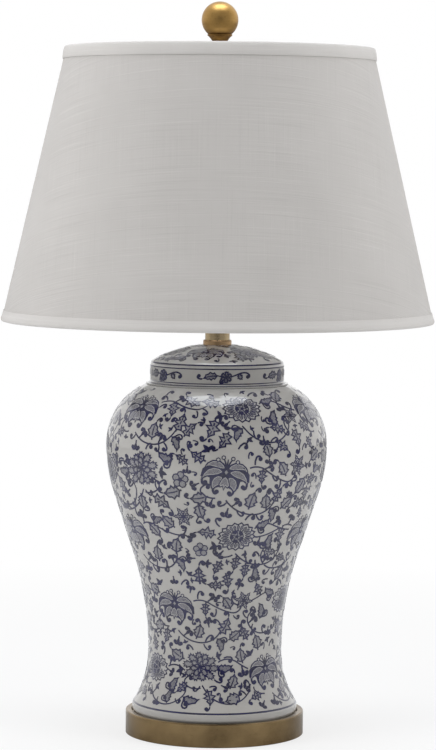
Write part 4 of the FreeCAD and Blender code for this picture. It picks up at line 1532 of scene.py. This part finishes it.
    def finish(self) -> None:
        """Makes each sheet a piece."""
        for kind, bm in self.sheets.items():
            paint(f"{self.name}_{kind}", bm)


def grow_garden() -> dict[str, list[Motif]]:
    """Draws every motif once.

    Returns:
        The motifs by kind, as variants that a scroll chooses among.
    """
    garden = Garden()
    return {
        "lotus": [garden.lotus()],
        "chrysanthemums": [garden.chrysanthemum()],
        "peonies": [garden.peony()],
        "stars": [garden.star_flower()],
        "flowers": [garden.small_flower()],
        "leaves": [garden.leaf(30, 17, Form.LEAF), garden.leaf(-34, 19, Form.IVY),
                   garden.leaf(18, 16, Form.IVY), garden.leaf(-24, 18, Form.LEAF)],
        "tails": [garden.tailed_leaf(1)],
        "curls": [garden.curl(12, 1), garden.curl(14, -1)],
        "forks": [garden.fork()],
        "buds": [garden.bud()],
        "sprays": [garden.collar_spray()],
    }


class Side(enum.Enum):
    """To which side a flower's stem swings."""

    RIGHT = False
    LEFT = True


SPRAYS: dict[str, tuple[Sprig, ...]] = {
    "lotus": (
        Sprig("leaves", 28 - 33j, 82), Sprig("leaves", 53 - 24j, 72, 1.08, True),
        Sprig("tails", 50 - 29j, -62, 0.95), Sprig("leaves", 63 - 29j, 48, 0.95),
        Sprig("forks", 8 - 34j, -96, 1.0), Sprig("curls", 15 - 30j, 104, 1.15),
        Sprig("curls", 37 - 37j, -70, 0.9, True), Sprig("curls", 27 + 12j, 108, 1.0),
        Sprig("leaves", 36 + 10j, -84, 0.95), Sprig("curls", 47 + 4j, -66, 0.95),
        Sprig("leaves", 63 + 5j, 132, 0.98), Sprig("stars", 77 + 17j, 90, 0.98),
        Sprig("curls", 66 - 1j, -58, 0.85), Sprig("leaves", -21 + 9j, 156, 1.05, True),
        Sprig("leaves", -38 + 3j, 152, 0.92), Sprig("tails", -53 + 6j, 172, 1.05),
        Sprig("flowers", -43 - 13j, 90, 1.08), Sprig("forks", -24 - 13j, 214, 0.9),
        Sprig("leaves", -40 - 23j, 200, 1.05), Sprig("leaves", -13 - 25j, 196, 0.98),
        Sprig("leaves", -10 + 23j, 104, 1.0, True), Sprig("buds", -19 + 18j, 128, 1.2),
        Sprig("curls", 8 + 25j, 74, 1.0)),
    "chrysanthemums": (
        Sprig("tails", 35 - 20j, 84, 1.08), Sprig("curls", 24 - 26j, 104, 1.0),
        Sprig("curls", 9 - 24j, -100, 0.95, True), Sprig("forks", 19 - 29j, -84, 0.95),
        Sprig("curls", 43 - 25j, -66, 0.9), Sprig("stars", 55 - 9j, 90, 0.85),
        Sprig("tails", 20 + 9j, 16, 1.0, True), Sprig("leaves", 40 + 7j, 58, 1.02),
        Sprig("buds", -20 - 8j, 192, 1.2), Sprig("forks", -14 - 14j, 224, 0.95),
        Sprig("leaves", -16 - 25j, 238, 1.02), Sprig("leaves", -21 + 4j, 166, 1.0, True),
        Sprig("curls", -17 + 13j, 138, 1.0), Sprig("flowers", -37 - 11j, 90, 1.0),
        Sprig("leaves", -4 + 18j, 112, 0.96), Sprig("curls", 9 + 17j, 62, 1.1),
        Sprig("forks", 62 + 4j, 58, 1.0), Sprig("leaves", 65 - 18j, -28, 0.95)),
    "peonies": (
        Sprig("tails", 18 + 1j, 2, 1.05, True), Sprig("curls", 16 - 13j, -48, 1.05),
        Sprig("forks", 24 - 19j, -26, 0.9), Sprig("leaves", 9 - 24j, -76, 1.0),
        Sprig("curls", 1 - 21j, -104, 0.9), Sprig("leaves", -14 - 18j, 226, 1.0, True),
        Sprig("buds", -20 - 5j, 192, 1.2), Sprig("leaves", -19 + 7j, 152, 1.05),
        Sprig("flowers", 3 + 27j, 90, 1.0), Sprig("curls", -9 + 18j, 112, 1.0),
        Sprig("leaves", 16 + 15j, 50, 1.0, True), Sprig("curls", 25 + 11j, 28, 1.0),
        Sprig("leaves", 34 - 23j, 72, 1.0), Sprig("tails", 50 - 22j, 62, 1.0),
        Sprig("stars", 60 + 8j, 90, 0.9), Sprig("leaves", 47 + 5j, 102, 0.95)),
}


@dataclass(frozen=True)
class Stem:
    """A stem: its first direction, the side of its hook, and its stretches' lengths and turns."""

    heading: float
    hand: int
    legs: tuple[tuple[float, float], ...]


STEM_FEET = {"lotus": -2 - 19j, "chrysanthemums": -5 - 15j, "peonies": 2 - 18j}
SHOULDER = 19 + 6j
BACK_STEP = 2 - 4j
LOW_STEM = Stem(-54, 1, ((12, 8), (30, 50), (26, 62), (10, 60)))
HIGH_STEM = Stem(42, 1, ((10, -34), (12, -38), (14, 8), (12, 14), (10, 60)))
BACK_STEM = Stem(214, -1, ((9, -30), (12, -40), (8, -100)))


@dataclass(frozen=True)
class Flower:
    """A large flower of the layout: its kind, its angle from the front and its stem's side."""

    kind: str
    degrees: float
    side: Side = Side.RIGHT


@dataclass(frozen=True)
class Line:
    """A blue line round a skin."""

    height: float
    width: float
    steps: int = 160

    def build(self, bm: bmesh.types.BMesh, skin: Skin) -> None:
        """Spins a thin band into a shared mesh.

        Args:
            bm: the mesh.
            skin: the surface that it is painted on.
        """
        half = self.width / 2
        corners = ((-half, Brush.LIFT), (half, Brush.LIFT), (half, -Brush.THICKNESS),
                   (-half, -Brush.THICKNESS))
        flat = np.array([(0.0, up, lift) for up, lift in corners])
        verts = [bm.verts.new(place) for place in skin.wrap(flat, 0.0, skin.run_at(self.height))]
        edges = [bm.edges.new(pair) for pair in zip(verts, verts[1:] + verts[:1])]
        bmesh.ops.spin(bm, geom=verts + edges, cent=(0, 0, 0), axis=(0, 0, 1),
                       angle=FULL_TURN, steps=self.steps, use_merge=True)


def paint_lines(name: str, skin: Skin, lines: Iterable[Line]) -> None:
    """Paints lines round a skin as one piece.

    Args:
        name: the piece's name.
        skin: the surface.
        lines: the lines.
    """
    bm = bmesh.new()
    tone = bm.faces.layers.float.new("tone")
    bm.loops.layers.uv.new("drawing")
    for line in lines:
        line.build(bm, skin)
    for face in bm.faces:
        face[tone] = Tone.LINE.value
    paint(name, bm)


@dataclass
class JarOrnament:
    """The scrolling flowers on the jar: rows of blossoms with their stems, then what fills in."""

    low_height: float = 35.0
    high_height: float = 351.2
    profile_start: float = 1 * MM
    profile_stop: float = 12.5 * MM
    profile_step: float = 1 * MM
    foot_line: Line = Line(32.5, 1.8)
    smallest_flower: float = 0.72
    flower_growth: float = 0.3
    wander: float = 3.0
    tilt: float = 9.0
    stem_tilt: float = 4.0
    points_per_sprout: int = 3
    seed: int = 11
    rows: tuple[tuple[float, tuple[Flower, ...]], ...] = (
        (333.0, (Flower("lotus", -50), Flower("chrysanthemums", 15), Flower("lotus", 66),
                 Flower("peonies", 112, Side.LEFT), Flower("chrysanthemums", 163, Side.LEFT),
                 Flower("lotus", 212), Flower("peonies", 262))),
        (272.0, (Flower("lotus", 5), Flower("peonies", -42, Side.LEFT),
                 Flower("peonies", 88), Flower("lotus", 138, Side.LEFT),
                 Flower("chrysanthemums", 188), Flower("lotus", 238, Side.LEFT),
                 Flower("chrysanthemums", 284))),
        (210.0, (Flower("chrysanthemums", 13), Flower("lotus", 66, Side.LEFT),
                 Flower("lotus", -62), Flower("chrysanthemums", 122, Side.LEFT),
                 Flower("peonies", 168), Flower("lotus", 206),
                 Flower("peonies", 256, Side.LEFT))),
        (139.0, (Flower("lotus", -34), Flower("chrysanthemums", 66, Side.LEFT),
                 Flower("lotus", 116), Flower("peonies", 172, Side.LEFT),
                 Flower("lotus", 226, Side.LEFT), Flower("chrysanthemums", 276))),
        (74.0, (Flower("peonies", -12), Flower("lotus", 48),
                Flower("chrysanthemums", 104, Side.LEFT), Flower("lotus", 158, Side.LEFT),
                Flower("peonies", 208), Flower("lotus", 258, Side.LEFT),
                Flower("chrysanthemums", 302))),
    )
    plan: tuple[Filling, ...] = (
        Filling("stars", 420, 0.4, 0.95, 1.1), Filling("leaves", 2600, -0.4, 0.95, 1.15),
        Filling("flowers", 300, 0.0, 0.95, 1.15), Filling("leaves", 1600, -0.5, 0.72, 0.95),
        Filling("tails", 1000, -0.5, 0.8, 1.0), Filling("forks", 1500, -0.4, 0.7, 1.05),
        Filling("curls", 2000, -0.5, 0.6, 0.95), Filling("buds", 1500, -0.4, 0.6, 0.95))

    def build(self, garden: dict[str, list[Motif]]) -> None:
        """Lays the blossoms, grows their stems and fills what is left.

        Args:
            garden: the motifs.
        """
        low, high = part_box("jar_body")
        levels = np.arange(low.z + self.profile_start, high.z - self.profile_stop,
                           self.profile_step)
        skin = Skin.cast("jar_body", [Vector((1.0, 0.0, level)) for level in levels],
                         Vector((-1.0, 0.0, 0.0)))
        margin = Margin(skin.run_at(self.low_height), skin.run_at(self.high_height))
        scroll = Scroll("jar", skin, margin, garden, self.seed)
        blossoms = self.lay_blossoms(scroll)
        stems = [shown for spot, kind in blossoms
                 for shown in self.grow_stems(scroll, spot, kind)]
        for spot, kind in blossoms:
            scroll.surround(spot, SPRAYS[kind])
        for shown in stems:
            scroll.sprout(shown, self.points_per_sprout)
        scroll.fill_in(self.plan)
        paint_lines("jar_foot_line", skin, [self.foot_line])
        scroll.finish()

    def lay_blossoms(self, scroll: Scroll) -> list[tuple[Spot, str]]:
        """Lays the rows of large flowers, smaller where the jar is slim.

        Args:
            scroll: the ornament.

        Returns:
            Each flower's place and kind.
        """
        laid = []
        widest = scroll.skin.radii.max()
        for height, flowers in self.rows:
            run = scroll.skin.run_at(height)
            size = (self.smallest_flower
                    + self.flower_growth * scroll.skin.radius_at(run) / widest)
            for flower in flowers:
                spot = Spot(math.radians(flower.degrees),
                            run + scroll.random.uniform(-self.wander, self.wander),
                            math.radians(scroll.random.uniform(-self.tilt, self.tilt)), size,
                            flower.side.value)
                scroll.stamp(flower.kind, scroll.garden[flower.kind][0], spot)
                laid.append((spot, flower.kind))
        return laid

    def grow_stems(self, scroll: Scroll, spot: Spot, kind: str) -> list[list[Triple]]:
        """Grows long stems from under a flower and from its shoulder.

        Args:
            scroll: the ornament.
            spot: the flower's place.
            kind: its kind.

        Returns:
            The points of each stem that show.
        """
        foot = STEM_FEET[kind]
        shift = scroll.random.uniform(-self.stem_tilt, self.stem_tilt)
        starts = ((foot, LOW_STEM), (SHOULDER, HIGH_STEM), (foot + BACK_STEP, BACK_STEM))
        return [scroll.vine(spot, trail(start, stem.heading + shift, stem.legs), stem.hand)
                for start, stem in starts]


@dataclass
class LidOrnament:
    """The lid's sprigs: a band of them round the collar and a field of them on the dome."""

    collar_low: float = 357.2
    collar_high: float = 370.6
    collar_lines: tuple[Line, ...] = (Line(375.2, 1.5), Line(371.6, 1.1), Line(357.0, 1.0),
                                      Line(354.9, 1.3))
    collar_repeats: int = 6
    collar_start: float = 0.13
    collar_size: float = 0.86
    collar_below: float = 2.9
    collar_above: float = 5.5
    collar_step: float = 0.25
    collar_tilt: float = 2.0
    dome_outer: float = 64.5
    dome_inner: float = 15.0
    dome_step: float = 0.5
    dome_middle: float = 0.47
    dome_size: float = 0.82
    above_lid: float = 0.1
    dome_flowers: tuple[Flower, ...] = (
        Flower("lotus", -16), Flower("peonies", 44), Flower("lotus", 104),
        Flower("peonies", 166), Flower("lotus", 226), Flower("peonies", 286))
    dome_plan: tuple[Filling, ...] = (
        Filling("leaves", 500, -0.8, 0.95, 1.15), Filling("tails", 200, -0.6, 0.9, 1.05),
        Filling("forks", 300, -0.5, 0.85, 1.05), Filling("curls", 400, -0.5, 0.75, 1.0),
        Filling("buds", 300, -0.4, 0.8, 1.0))
    seed: int = 23

    def build(self, garden: dict[str, list[Motif]]) -> None:
        """Paints the collar and the dome.

        Args:
            garden: the motifs.
        """
        levels = np.arange(self.collar_low - self.collar_below,
                           self.collar_high + self.collar_above, self.collar_step) * MM
        collar = Skin.cast("lid", [Vector((1.0, 0.0, level)) for level in levels],
                           Vector((-1.0, 0.0, 0.0)))
        margin = Margin(collar.run_at(self.collar_low), collar.run_at(self.collar_high))
        scroll = Scroll("collar", collar, margin, garden, self.seed)
        self.paint_collar(scroll)
        paint_lines("collar_lines", collar, self.collar_lines)
        reaches = np.arange(self.dome_outer, self.dome_inner, -self.dome_step) * MM
        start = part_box("lid")[1].z + self.above_lid
        dome = Skin.cast("lid", [Vector((reach, 0.0, start)) for reach in reaches],
                         Vector((0.0, 0.0, -1.0)))
        self.paint_dome(Scroll("dome", dome, Margin(0.0, float(dome.runs[-1])), garden,
                               self.seed))

    def paint_collar(self, scroll: Scroll) -> None:
        """Repeats one spray round the collar.

        Args:
            scroll: the collar's ornament.
        """
        middle = (scroll.margin.low + scroll.margin.high) / 2
        for repeat in range(self.collar_repeats):
            tilt = scroll.random.uniform(-self.collar_tilt, self.collar_tilt)
            spot = Spot((repeat + self.collar_start) * FULL_TURN / self.collar_repeats, middle,
                        math.radians(tilt), self.collar_size)
            scroll.stamp("sprays", scroll.garden["sprays"][0], spot)
        scroll.finish()

    def paint_dome(self, scroll: Scroll) -> None:
        """Sets flowers round the dome and fills in between them.

        Args:
            scroll: the dome's ornament.
        """
        middle = (scroll.margin.low + scroll.margin.high) * self.dome_middle
        for flower in self.dome_flowers:
            spot = Spot(math.radians(flower.degrees), middle, 0.0, self.dome_size)
            scroll.stamp(flower.kind, scroll.garden[flower.kind][0], spot)
        scroll.fill_in(self.dome_plan)
        scroll.finish()


# ------------------------------------------------------------------ the shade's cloth


@dataclass
class Sweep:
    """A section carried round the lamp's axis, from the back round the front, past its start."""

    section: Sequence[tuple[float, float]]
    closed: bool
    lap: float
    steps: int = 240

    def __post_init__(self) -> None:
        """Spins the section, whose points are radius and height in metres."""
        self.bm = bmesh.new()
        verts = [self.bm.verts.new((0.0, radius, height)) for radius, height in self.section]
        ends = verts[1:] + verts[:1] if self.closed else verts[1:]
        edges = [self.bm.edges.new(pair) for pair in zip(verts, ends)]
        bmesh.ops.spin(self.bm, geom=verts + edges, cent=(0, 0, 0), axis=(0, 0, 1),
                       angle=FULL_TURN + self.lap, steps=self.steps)
        self.bm.verts.ensure_lookup_table()
        self.count = len(self.bm.verts)

    def turn_of(self, vert: bmesh.types.BMVert) -> float:
        """The angle from the front at which a point lies, from the back to past the back."""
        step = vert.index % self.count // len(self.section)
        return step / self.steps * (FULL_TURN + self.lap) - math.pi

    def settle(self, offset: Callable[[float, float], float]) -> None:
        """Moves every point in or out.

        Args:
            offset: gives the move from the angle and the height.
        """
        for vert in self.bm.verts:
            radius = math.hypot(vert.co.x, vert.co.y)
            vert.co.xy *= 1 + offset(self.turn_of(vert), vert.co.z) / radius

    def thicken(self, ply: float) -> None:
        """Gives an open sheet its thickness, in points that follow the first ones in order.

        Args:
            ply: the thickness.
        """
        bmesh.ops.recalc_face_normals(self.bm, faces=self.bm.faces[:])
        bmesh.ops.solidify(self.bm, geom=self.bm.faces[:], thickness=ply)
        self.bm.verts.index_update()

    def cap_ends(self) -> None:
        """Closes the two cut ends of a closed section."""
        count = len(self.section)
        verts = self.bm.verts
        for end in (verts[:count], verts[-count:]):
            edges = {edge for vert in end for edge in vert.link_edges
                     if edge.other_vert(vert) in end}
            bmesh.ops.contextual_create(self.bm, geom=list(edges))

    def finish(self, flatten: Callable[[float, Vector], tuple[float, float]]) -> bmesh.types.BMesh:
        """Writes the cloth's own coordinates and turns the faces outward.

        Args:
            flatten: gives a point's place on the flat cloth from its angle and its place.

        Returns:
            The mesh.
        """
        cloth = self.bm.loops.layers.uv.new("cloth")
        for face in self.bm.faces:
            for loop in face.loops:
                loop[cloth].uv = flatten(self.turn_of(loop.vert), loop.vert.co)
        bmesh.ops.recalc_face_normals(self.bm, faces=self.bm.faces[:])
        return self.bm


@dataclass
class ShadeLinen:
    """The linen glued to the shade's liner, and the strips folded round its two edges."""

    level: float = 415.2 * MM
    height: float = 273.4 * MM
    foot_radius: float = 216.04 * MM
    top_radius: float = 152.68 * MM
    cover_ply: float = 0.72 * MM
    edge_inset: float = 1.1 * MM
    trim_ply: float = 0.75 * MM
    cover_wave: float = 0.12 * MM
    trim_wave: float = 0.22 * MM
    lap_length: float = 11.0 * MM
    lap_rise: float = 3.0 * MM
    bottom_band: float = 10.8 * MM
    top_band: float = 12.4 * MM
    cover_rows: int = 18
    wave_counts: tuple[int, ...] = (3, 5, 8, 13, 21)
    seed: int = 5
    cover_cut: tuple[float, float] = (1.247, 0.443)
    cover_area: float = 0.3225
    bottom_cut: tuple[float, float] = (1.37, 0.0235)
    top_cut: tuple[float, float] = (0.99, 0.0265)

    def __post_init__(self) -> None:
        """Sets the cone's slope and the cloth's unevenness."""
        self.slope = (self.foot_radius - self.top_radius) / self.height
        choose = random.Random(self.seed)
        self.waves = [(number, choose.uniform(0, FULL_TURN), choose.uniform(-9, 9))
                      for number in self.wave_counts]

    def face_at(self, height: float) -> float:
        """The linen's outer radius at a height above the shade's lower edge."""
        return self.foot_radius - self.slope * height

    def unevenness(self, turn: float, height: float) -> float:
        """A few long waves that add up to about one."""
        return sum(math.sin(number * turn + phase + rise * height * 10) / number ** 0.6
                   for number, phase, rise in self.waves) * 0.5

    def lap_lift(self, turn: float, radius: float, ply: float) -> float:
        """How far the cloth's last stretch stands out to lie on its first.

        Args:
            turn: the angle from the front.
            radius: the shade's radius there.
            ply: the cloth's thickness.

        Returns:
            The step outward, which rises smoothly.
        """
        past = (turn - math.pi) * radius + self.lap_rise
        share = min(max(past / self.lap_rise, 0.0), 1.0)
        return ply * share * share * (3 - 2 * share)

    def on_cone(self, turn: float, place: Vector) -> tuple[float, float]:
        """A point of the cone on the flat pattern.

        Args:
            turn: its angle from the front.
            place: its place.

        Returns:
            Its two coordinates on the flat cloth.
        """
        lean = math.sin(math.atan(self.slope))
        slant = math.hypot(place.x, place.y) / lean
        return slant * math.sin(turn * lean), -slant * math.cos(turn * lean)

    def along_strip(self, turn: float, place: Vector) -> tuple[float, float]:
        """A point of a trim on its flat strip."""
        radius = math.hypot(place.x, place.y)
        return turn * self.foot_radius, place.z + radius

    def build(self) -> None:
        """Makes the cover and both trims."""
        self.build_cover()
        self.build_trim("bottom_trim", self.bottom_section())
        self.build_trim("top_trim", self.top_section())

    def build_cover(self) -> None:
        """The cone of linen, whose end laps over its start at the back."""
        low, high = self.edge_inset, self.height - self.edge_inset
        rows = [low + (high - low) * row / self.cover_rows for row in range(self.cover_rows + 1)]
        sweep = Sweep([(self.face_at(row), self.level + row) for row in rows], False,
                      self.lap_length / self.foot_radius)
        sweep.settle(lambda turn, height: self.lap_lift(turn, self.foot_radius, self.cover_ply)
                     + self.cover_wave * self.unevenness(turn, height))
        sweep.thicken(self.cover_ply)
        cover = add_piece("linen_cover", sweep.finish(self.on_cone), "shade")
        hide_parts("shade_cover")
        LINEN.dress(cover)

    def bottom_section(self) -> list[tuple[float, float]]:
        """Draws the folded strip round the lower edge, anticlockwise from its outer seam.

        Returns:
            The section's points, each a radius and a height.
        """
        band, ply = self.bottom_band, self.trim_ply
        face, base = self.face_at(band), self.level
        foot = self.face_at(0)
        return [
            (face + 0.1 * MM, base + band),
            (foot - 0.2 * MM, base + 1.0 * MM),
            (foot - 3.9 * MM, base + 1.2 * MM),
            (foot - 4.9 * MM, base + 3.8 * MM),
            (foot - 5.6 * MM, base + 3.8 * MM),
            (foot - 5.4 * MM, base + 1.4 * MM),
            (foot - 4.4 * MM, base + 0.15 * MM),
            (foot - 1.6 * MM, base),
            (foot - 0.1 * MM, base + 0.35 * MM),
            (foot + 0.65 * MM, base + 1.5 * MM),
            (foot + 0.72 * MM, base + 3.2 * MM),
            (self.face_at(6.5 * MM) + 1.25 * ply, base + 6.5 * MM),
            (self.face_at(9.0 * MM) + 1.2 * ply, base + 9.0 * MM),
            (face + 0.95 * ply, base + band + 0.15 * MM),
        ]

    def top_section(self) -> list[tuple[float, float]]:
        """Draws the folded strip round the upper edge, from its outer seam up and over.

        Returns:
            The section's points, each a radius and a height.
        """
        height, ply, top = self.height, self.trim_ply, self.level + self.height
        seam = height - self.top_band
        brim = self.face_at(height)
        return [
            (self.face_at(seam) + 0.1 * MM, self.level + seam),
            (self.face_at(seam) + 0.95 * ply, self.level + seam - 0.15 * MM),
            (self.face_at(seam + 1.8 * MM) + 1.9 * ply, self.level + seam + 1.6 * MM),
            (self.face_at(height - 5 * MM) + 2.6 * ply, top - 5.0 * MM),
            (brim + 3.2 * ply, top - 2.3 * MM),
            (brim + 2.6 * ply, top - 0.8 * MM),
            (brim + 1.0 * ply, top),
            (brim - 3.2 * MM, top - 0.05 * MM),
            (brim - 4.8 * MM, top - 0.9 * MM),
            (brim - 5.1 * MM, top - 4.4 * MM),
            (brim - 4.3 * MM, top - 4.4 * MM),
            (brim - 3.6 * MM, top - 1.2 * MM),
            (brim - 0.2 * MM, top - 1.0 * MM),
        ]

    def build_trim(self, node: str, section: list[tuple[float, float]]) -> None:
        """Folds a strip round an edge.

        Args:
            node: the solid that it stands for.
            section: its section.
        """
        radius = section[0][0]
        sweep = Sweep(section, True, self.lap_length / radius)
        sweep.settle(lambda turn, height: self.lap_lift(turn, radius, self.trim_ply)
                     + self.trim_wave * self.unevenness(turn * 2, 0.0))
        sweep.cap_ends()
        trim = add_piece(f"linen_{node}", sweep.finish(self.along_strip), "shade")
        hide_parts(node)
        # the trims take the lighter copy of the linen, which paints the light they catch
        LIT_TRIM_LINEN.dress(trim)


# ------------------------------------------------------------------ studio


@dataclass
class Camera:
    """The photograph's point of view."""

    distance: float = 3.0
    height: float = 0.5679
    pitch_down: float = 3.934
    focal_pixels: float = 2996.4
    roll: float = 0.475
    aside: float = 0.0009
    sensor: float = 36.0

    def build(self) -> None:
        """Makes the scene's camera."""
        data = bpy.data.cameras.new("view")
        data.sensor_width = self.sensor
        data.lens = self.focal_pixels / PICTURE_HEIGHT * self.sensor
        camera = show("view", data)
        camera.location = (self.aside, -self.distance, self.height)
        level = Euler((math.radians(90 - self.pitch_down), 0.0, 0.0)).to_matrix()
        rolled = level @ Matrix.Rotation(math.radians(self.roll), 3, "Z")
        camera.rotation_euler = rolled.to_euler()
        bpy.context.scene.camera = camera


@dataclass(frozen=True)
class Lamp:
    """A soft box of the studio."""

    name: str
    place: Triple
    aim: Triple
    width: float
    length: float
    watts: float
    mirrored: bool = False
    tint: Colour = (1.0, 1.0, 1.0)

    def build(self) -> None:
        """Hangs the lamp."""
        data = bpy.data.lights.new(self.name, "AREA")
        data.shape = "RECTANGLE"
        data.size, data.size_y = self.width, self.length
        data.energy = self.watts
        data.color = self.tint
        lamp = show(self.name, data)
        lamp.location = self.place
        lamp.visible_glossy = self.mirrored
        way = Vector(self.aim) - Vector(self.place)
        lamp.rotation_euler = way.to_track_quat("-Z", "Y").to_euler()


@dataclass
class Studio:
    """A pale floor, a white surround that is grey behind the camera, and large soft lamps."""

    floor_size: float = 12.0
    floor_colour: Colour = (0.86, 0.86, 0.86)
    floor_shadow: float = 0.26
    floor_near: float = 0.35
    floor_far: float = 1.3
    ambient: float = 0.42
    room_edge: float = 0.15
    room_softness: float = 0.7
    room_level: float = 0.5
    front_edge: float = 0.93
    front_softness: float = 0.1
    front_level: float = 0.28
    lamps: tuple[Lamp, ...] = (
        Lamp("left_box", (-1.35, -0.6, 1.15), (0.0, 0.0, 0.4), 0.9, 1.1, 14.0),
        Lamp("right_box", (1.35, -0.55, 1.15), (0.0, 0.0, 0.4), 0.9, 1.1, 11.5),
        Lamp("top_box", (0.0, 0.0, 1.95), (0.0, 0.0, 0.5), 1.05, 0.85, 12.5, True,
             (0.9, 0.94, 1.0)),
    )

    def build(self) -> None:
        """Makes the floor, the surround and the lamps."""
        bpy.context.scene.view_settings.view_transform = "Standard"
        for lamp in self.lamps:
            lamp.build()
        self.build_floor()
        self.build_surround()

    def build_floor(self) -> None:
        """A pale floor that turns white away from the lamp and still shows its shadow."""
        bm = bmesh.new()
        bmesh.ops.create_grid(bm, x_segments=1, y_segments=1, size=self.floor_size / 2)
        mesh = bpy.data.meshes.new("floor")
        bm.to_mesh(mesh)
        bm.free()
        floor = show("floor", mesh)
        floor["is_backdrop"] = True
        graph = Graph("pale_floor")
        across, along, _ = graph.axes(graph.place())
        away = (across * across + along * along) ** 0.5
        span = self.floor_far - self.floor_near
        share = 1 - (1 - ((away - self.floor_near) * (1 / span)).clamped()) * self.floor_shadow
        seen = graph.add("ShaderNodeLightPath", {}, {}, "Is Camera Ray")
        white = graph.add("ShaderNodeEmission", {}, {"Color": (1, 1, 1, 1), "Strength": 1.0})
        graph.fix(base_color=(*self.floor_colour, 1.0), roughness=0.9)
        mixed = graph.add("ShaderNodeMixShader", {}, {
            0: seen * share, 1: Value(graph, graph.shader.outputs[0]), 2: white})
        out = next(node for node in graph.nodes if node.type == "OUTPUT_MATERIAL")
        graph.links.new(mixed.socket, out.inputs["Surface"])
        mesh.materials.append(graph.material)

    def build_surround(self) -> None:
        """A room that is seen as white, mirrored as grey in front, and lights at its own level."""
        surround = Surround("surround")
        rays = {kind: surround.add("ShaderNodeLightPath", {}, {}, f"Is {kind} Ray")
                for kind in ("Camera", "Glossy", "Transmission")}
        _, rearward, _ = surround.axes(surround.add("ShaderNodeTexCoord", {}, {}, "Generated"))
        forward = rearward * -1.0
        room = 1 - forward.above(self.room_edge, self.room_softness) * (1 - self.room_level)
        front = 1 - forward.above(self.front_edge, self.front_softness) * (1 - self.front_level)
        mirrored_level = room * front
        shown = rays["Camera"].math("MAXIMUM", rays["Transmission"])
        plain = (1 - shown) * (1 - rays["Glossy"]) * self.ambient
        surround.light(shown + rays["Glossy"] * (1 - shown) * mirrored_level + plain)


# ------------------------------------------------------------------ the build


def corners() -> list[list[float]]:
    """The shown object's lowest and highest corners as plain numbers."""
    return [list(corner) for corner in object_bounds()]


def dress_nodes() -> None:
    """Gives every node of the frame its finish."""
    for finish, names in NODE_FINISHES.items():
        for name in names:
            finish.dress(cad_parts[name])
            LOG.info("%s: %s", name, finish.name)


def main() -> None:
    """Builds the looks, piece by piece."""
    logging.basicConfig(level=logging.INFO, format="%(message)s")
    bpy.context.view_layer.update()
    Camera().build()
    Studio().build()
    dress_nodes()
    ShadeLinen().build()
    garden = grow_garden()
    JarOrnament().build(garden)
    LidOrnament().build(garden)


if __name__ == "__main__":
    main()
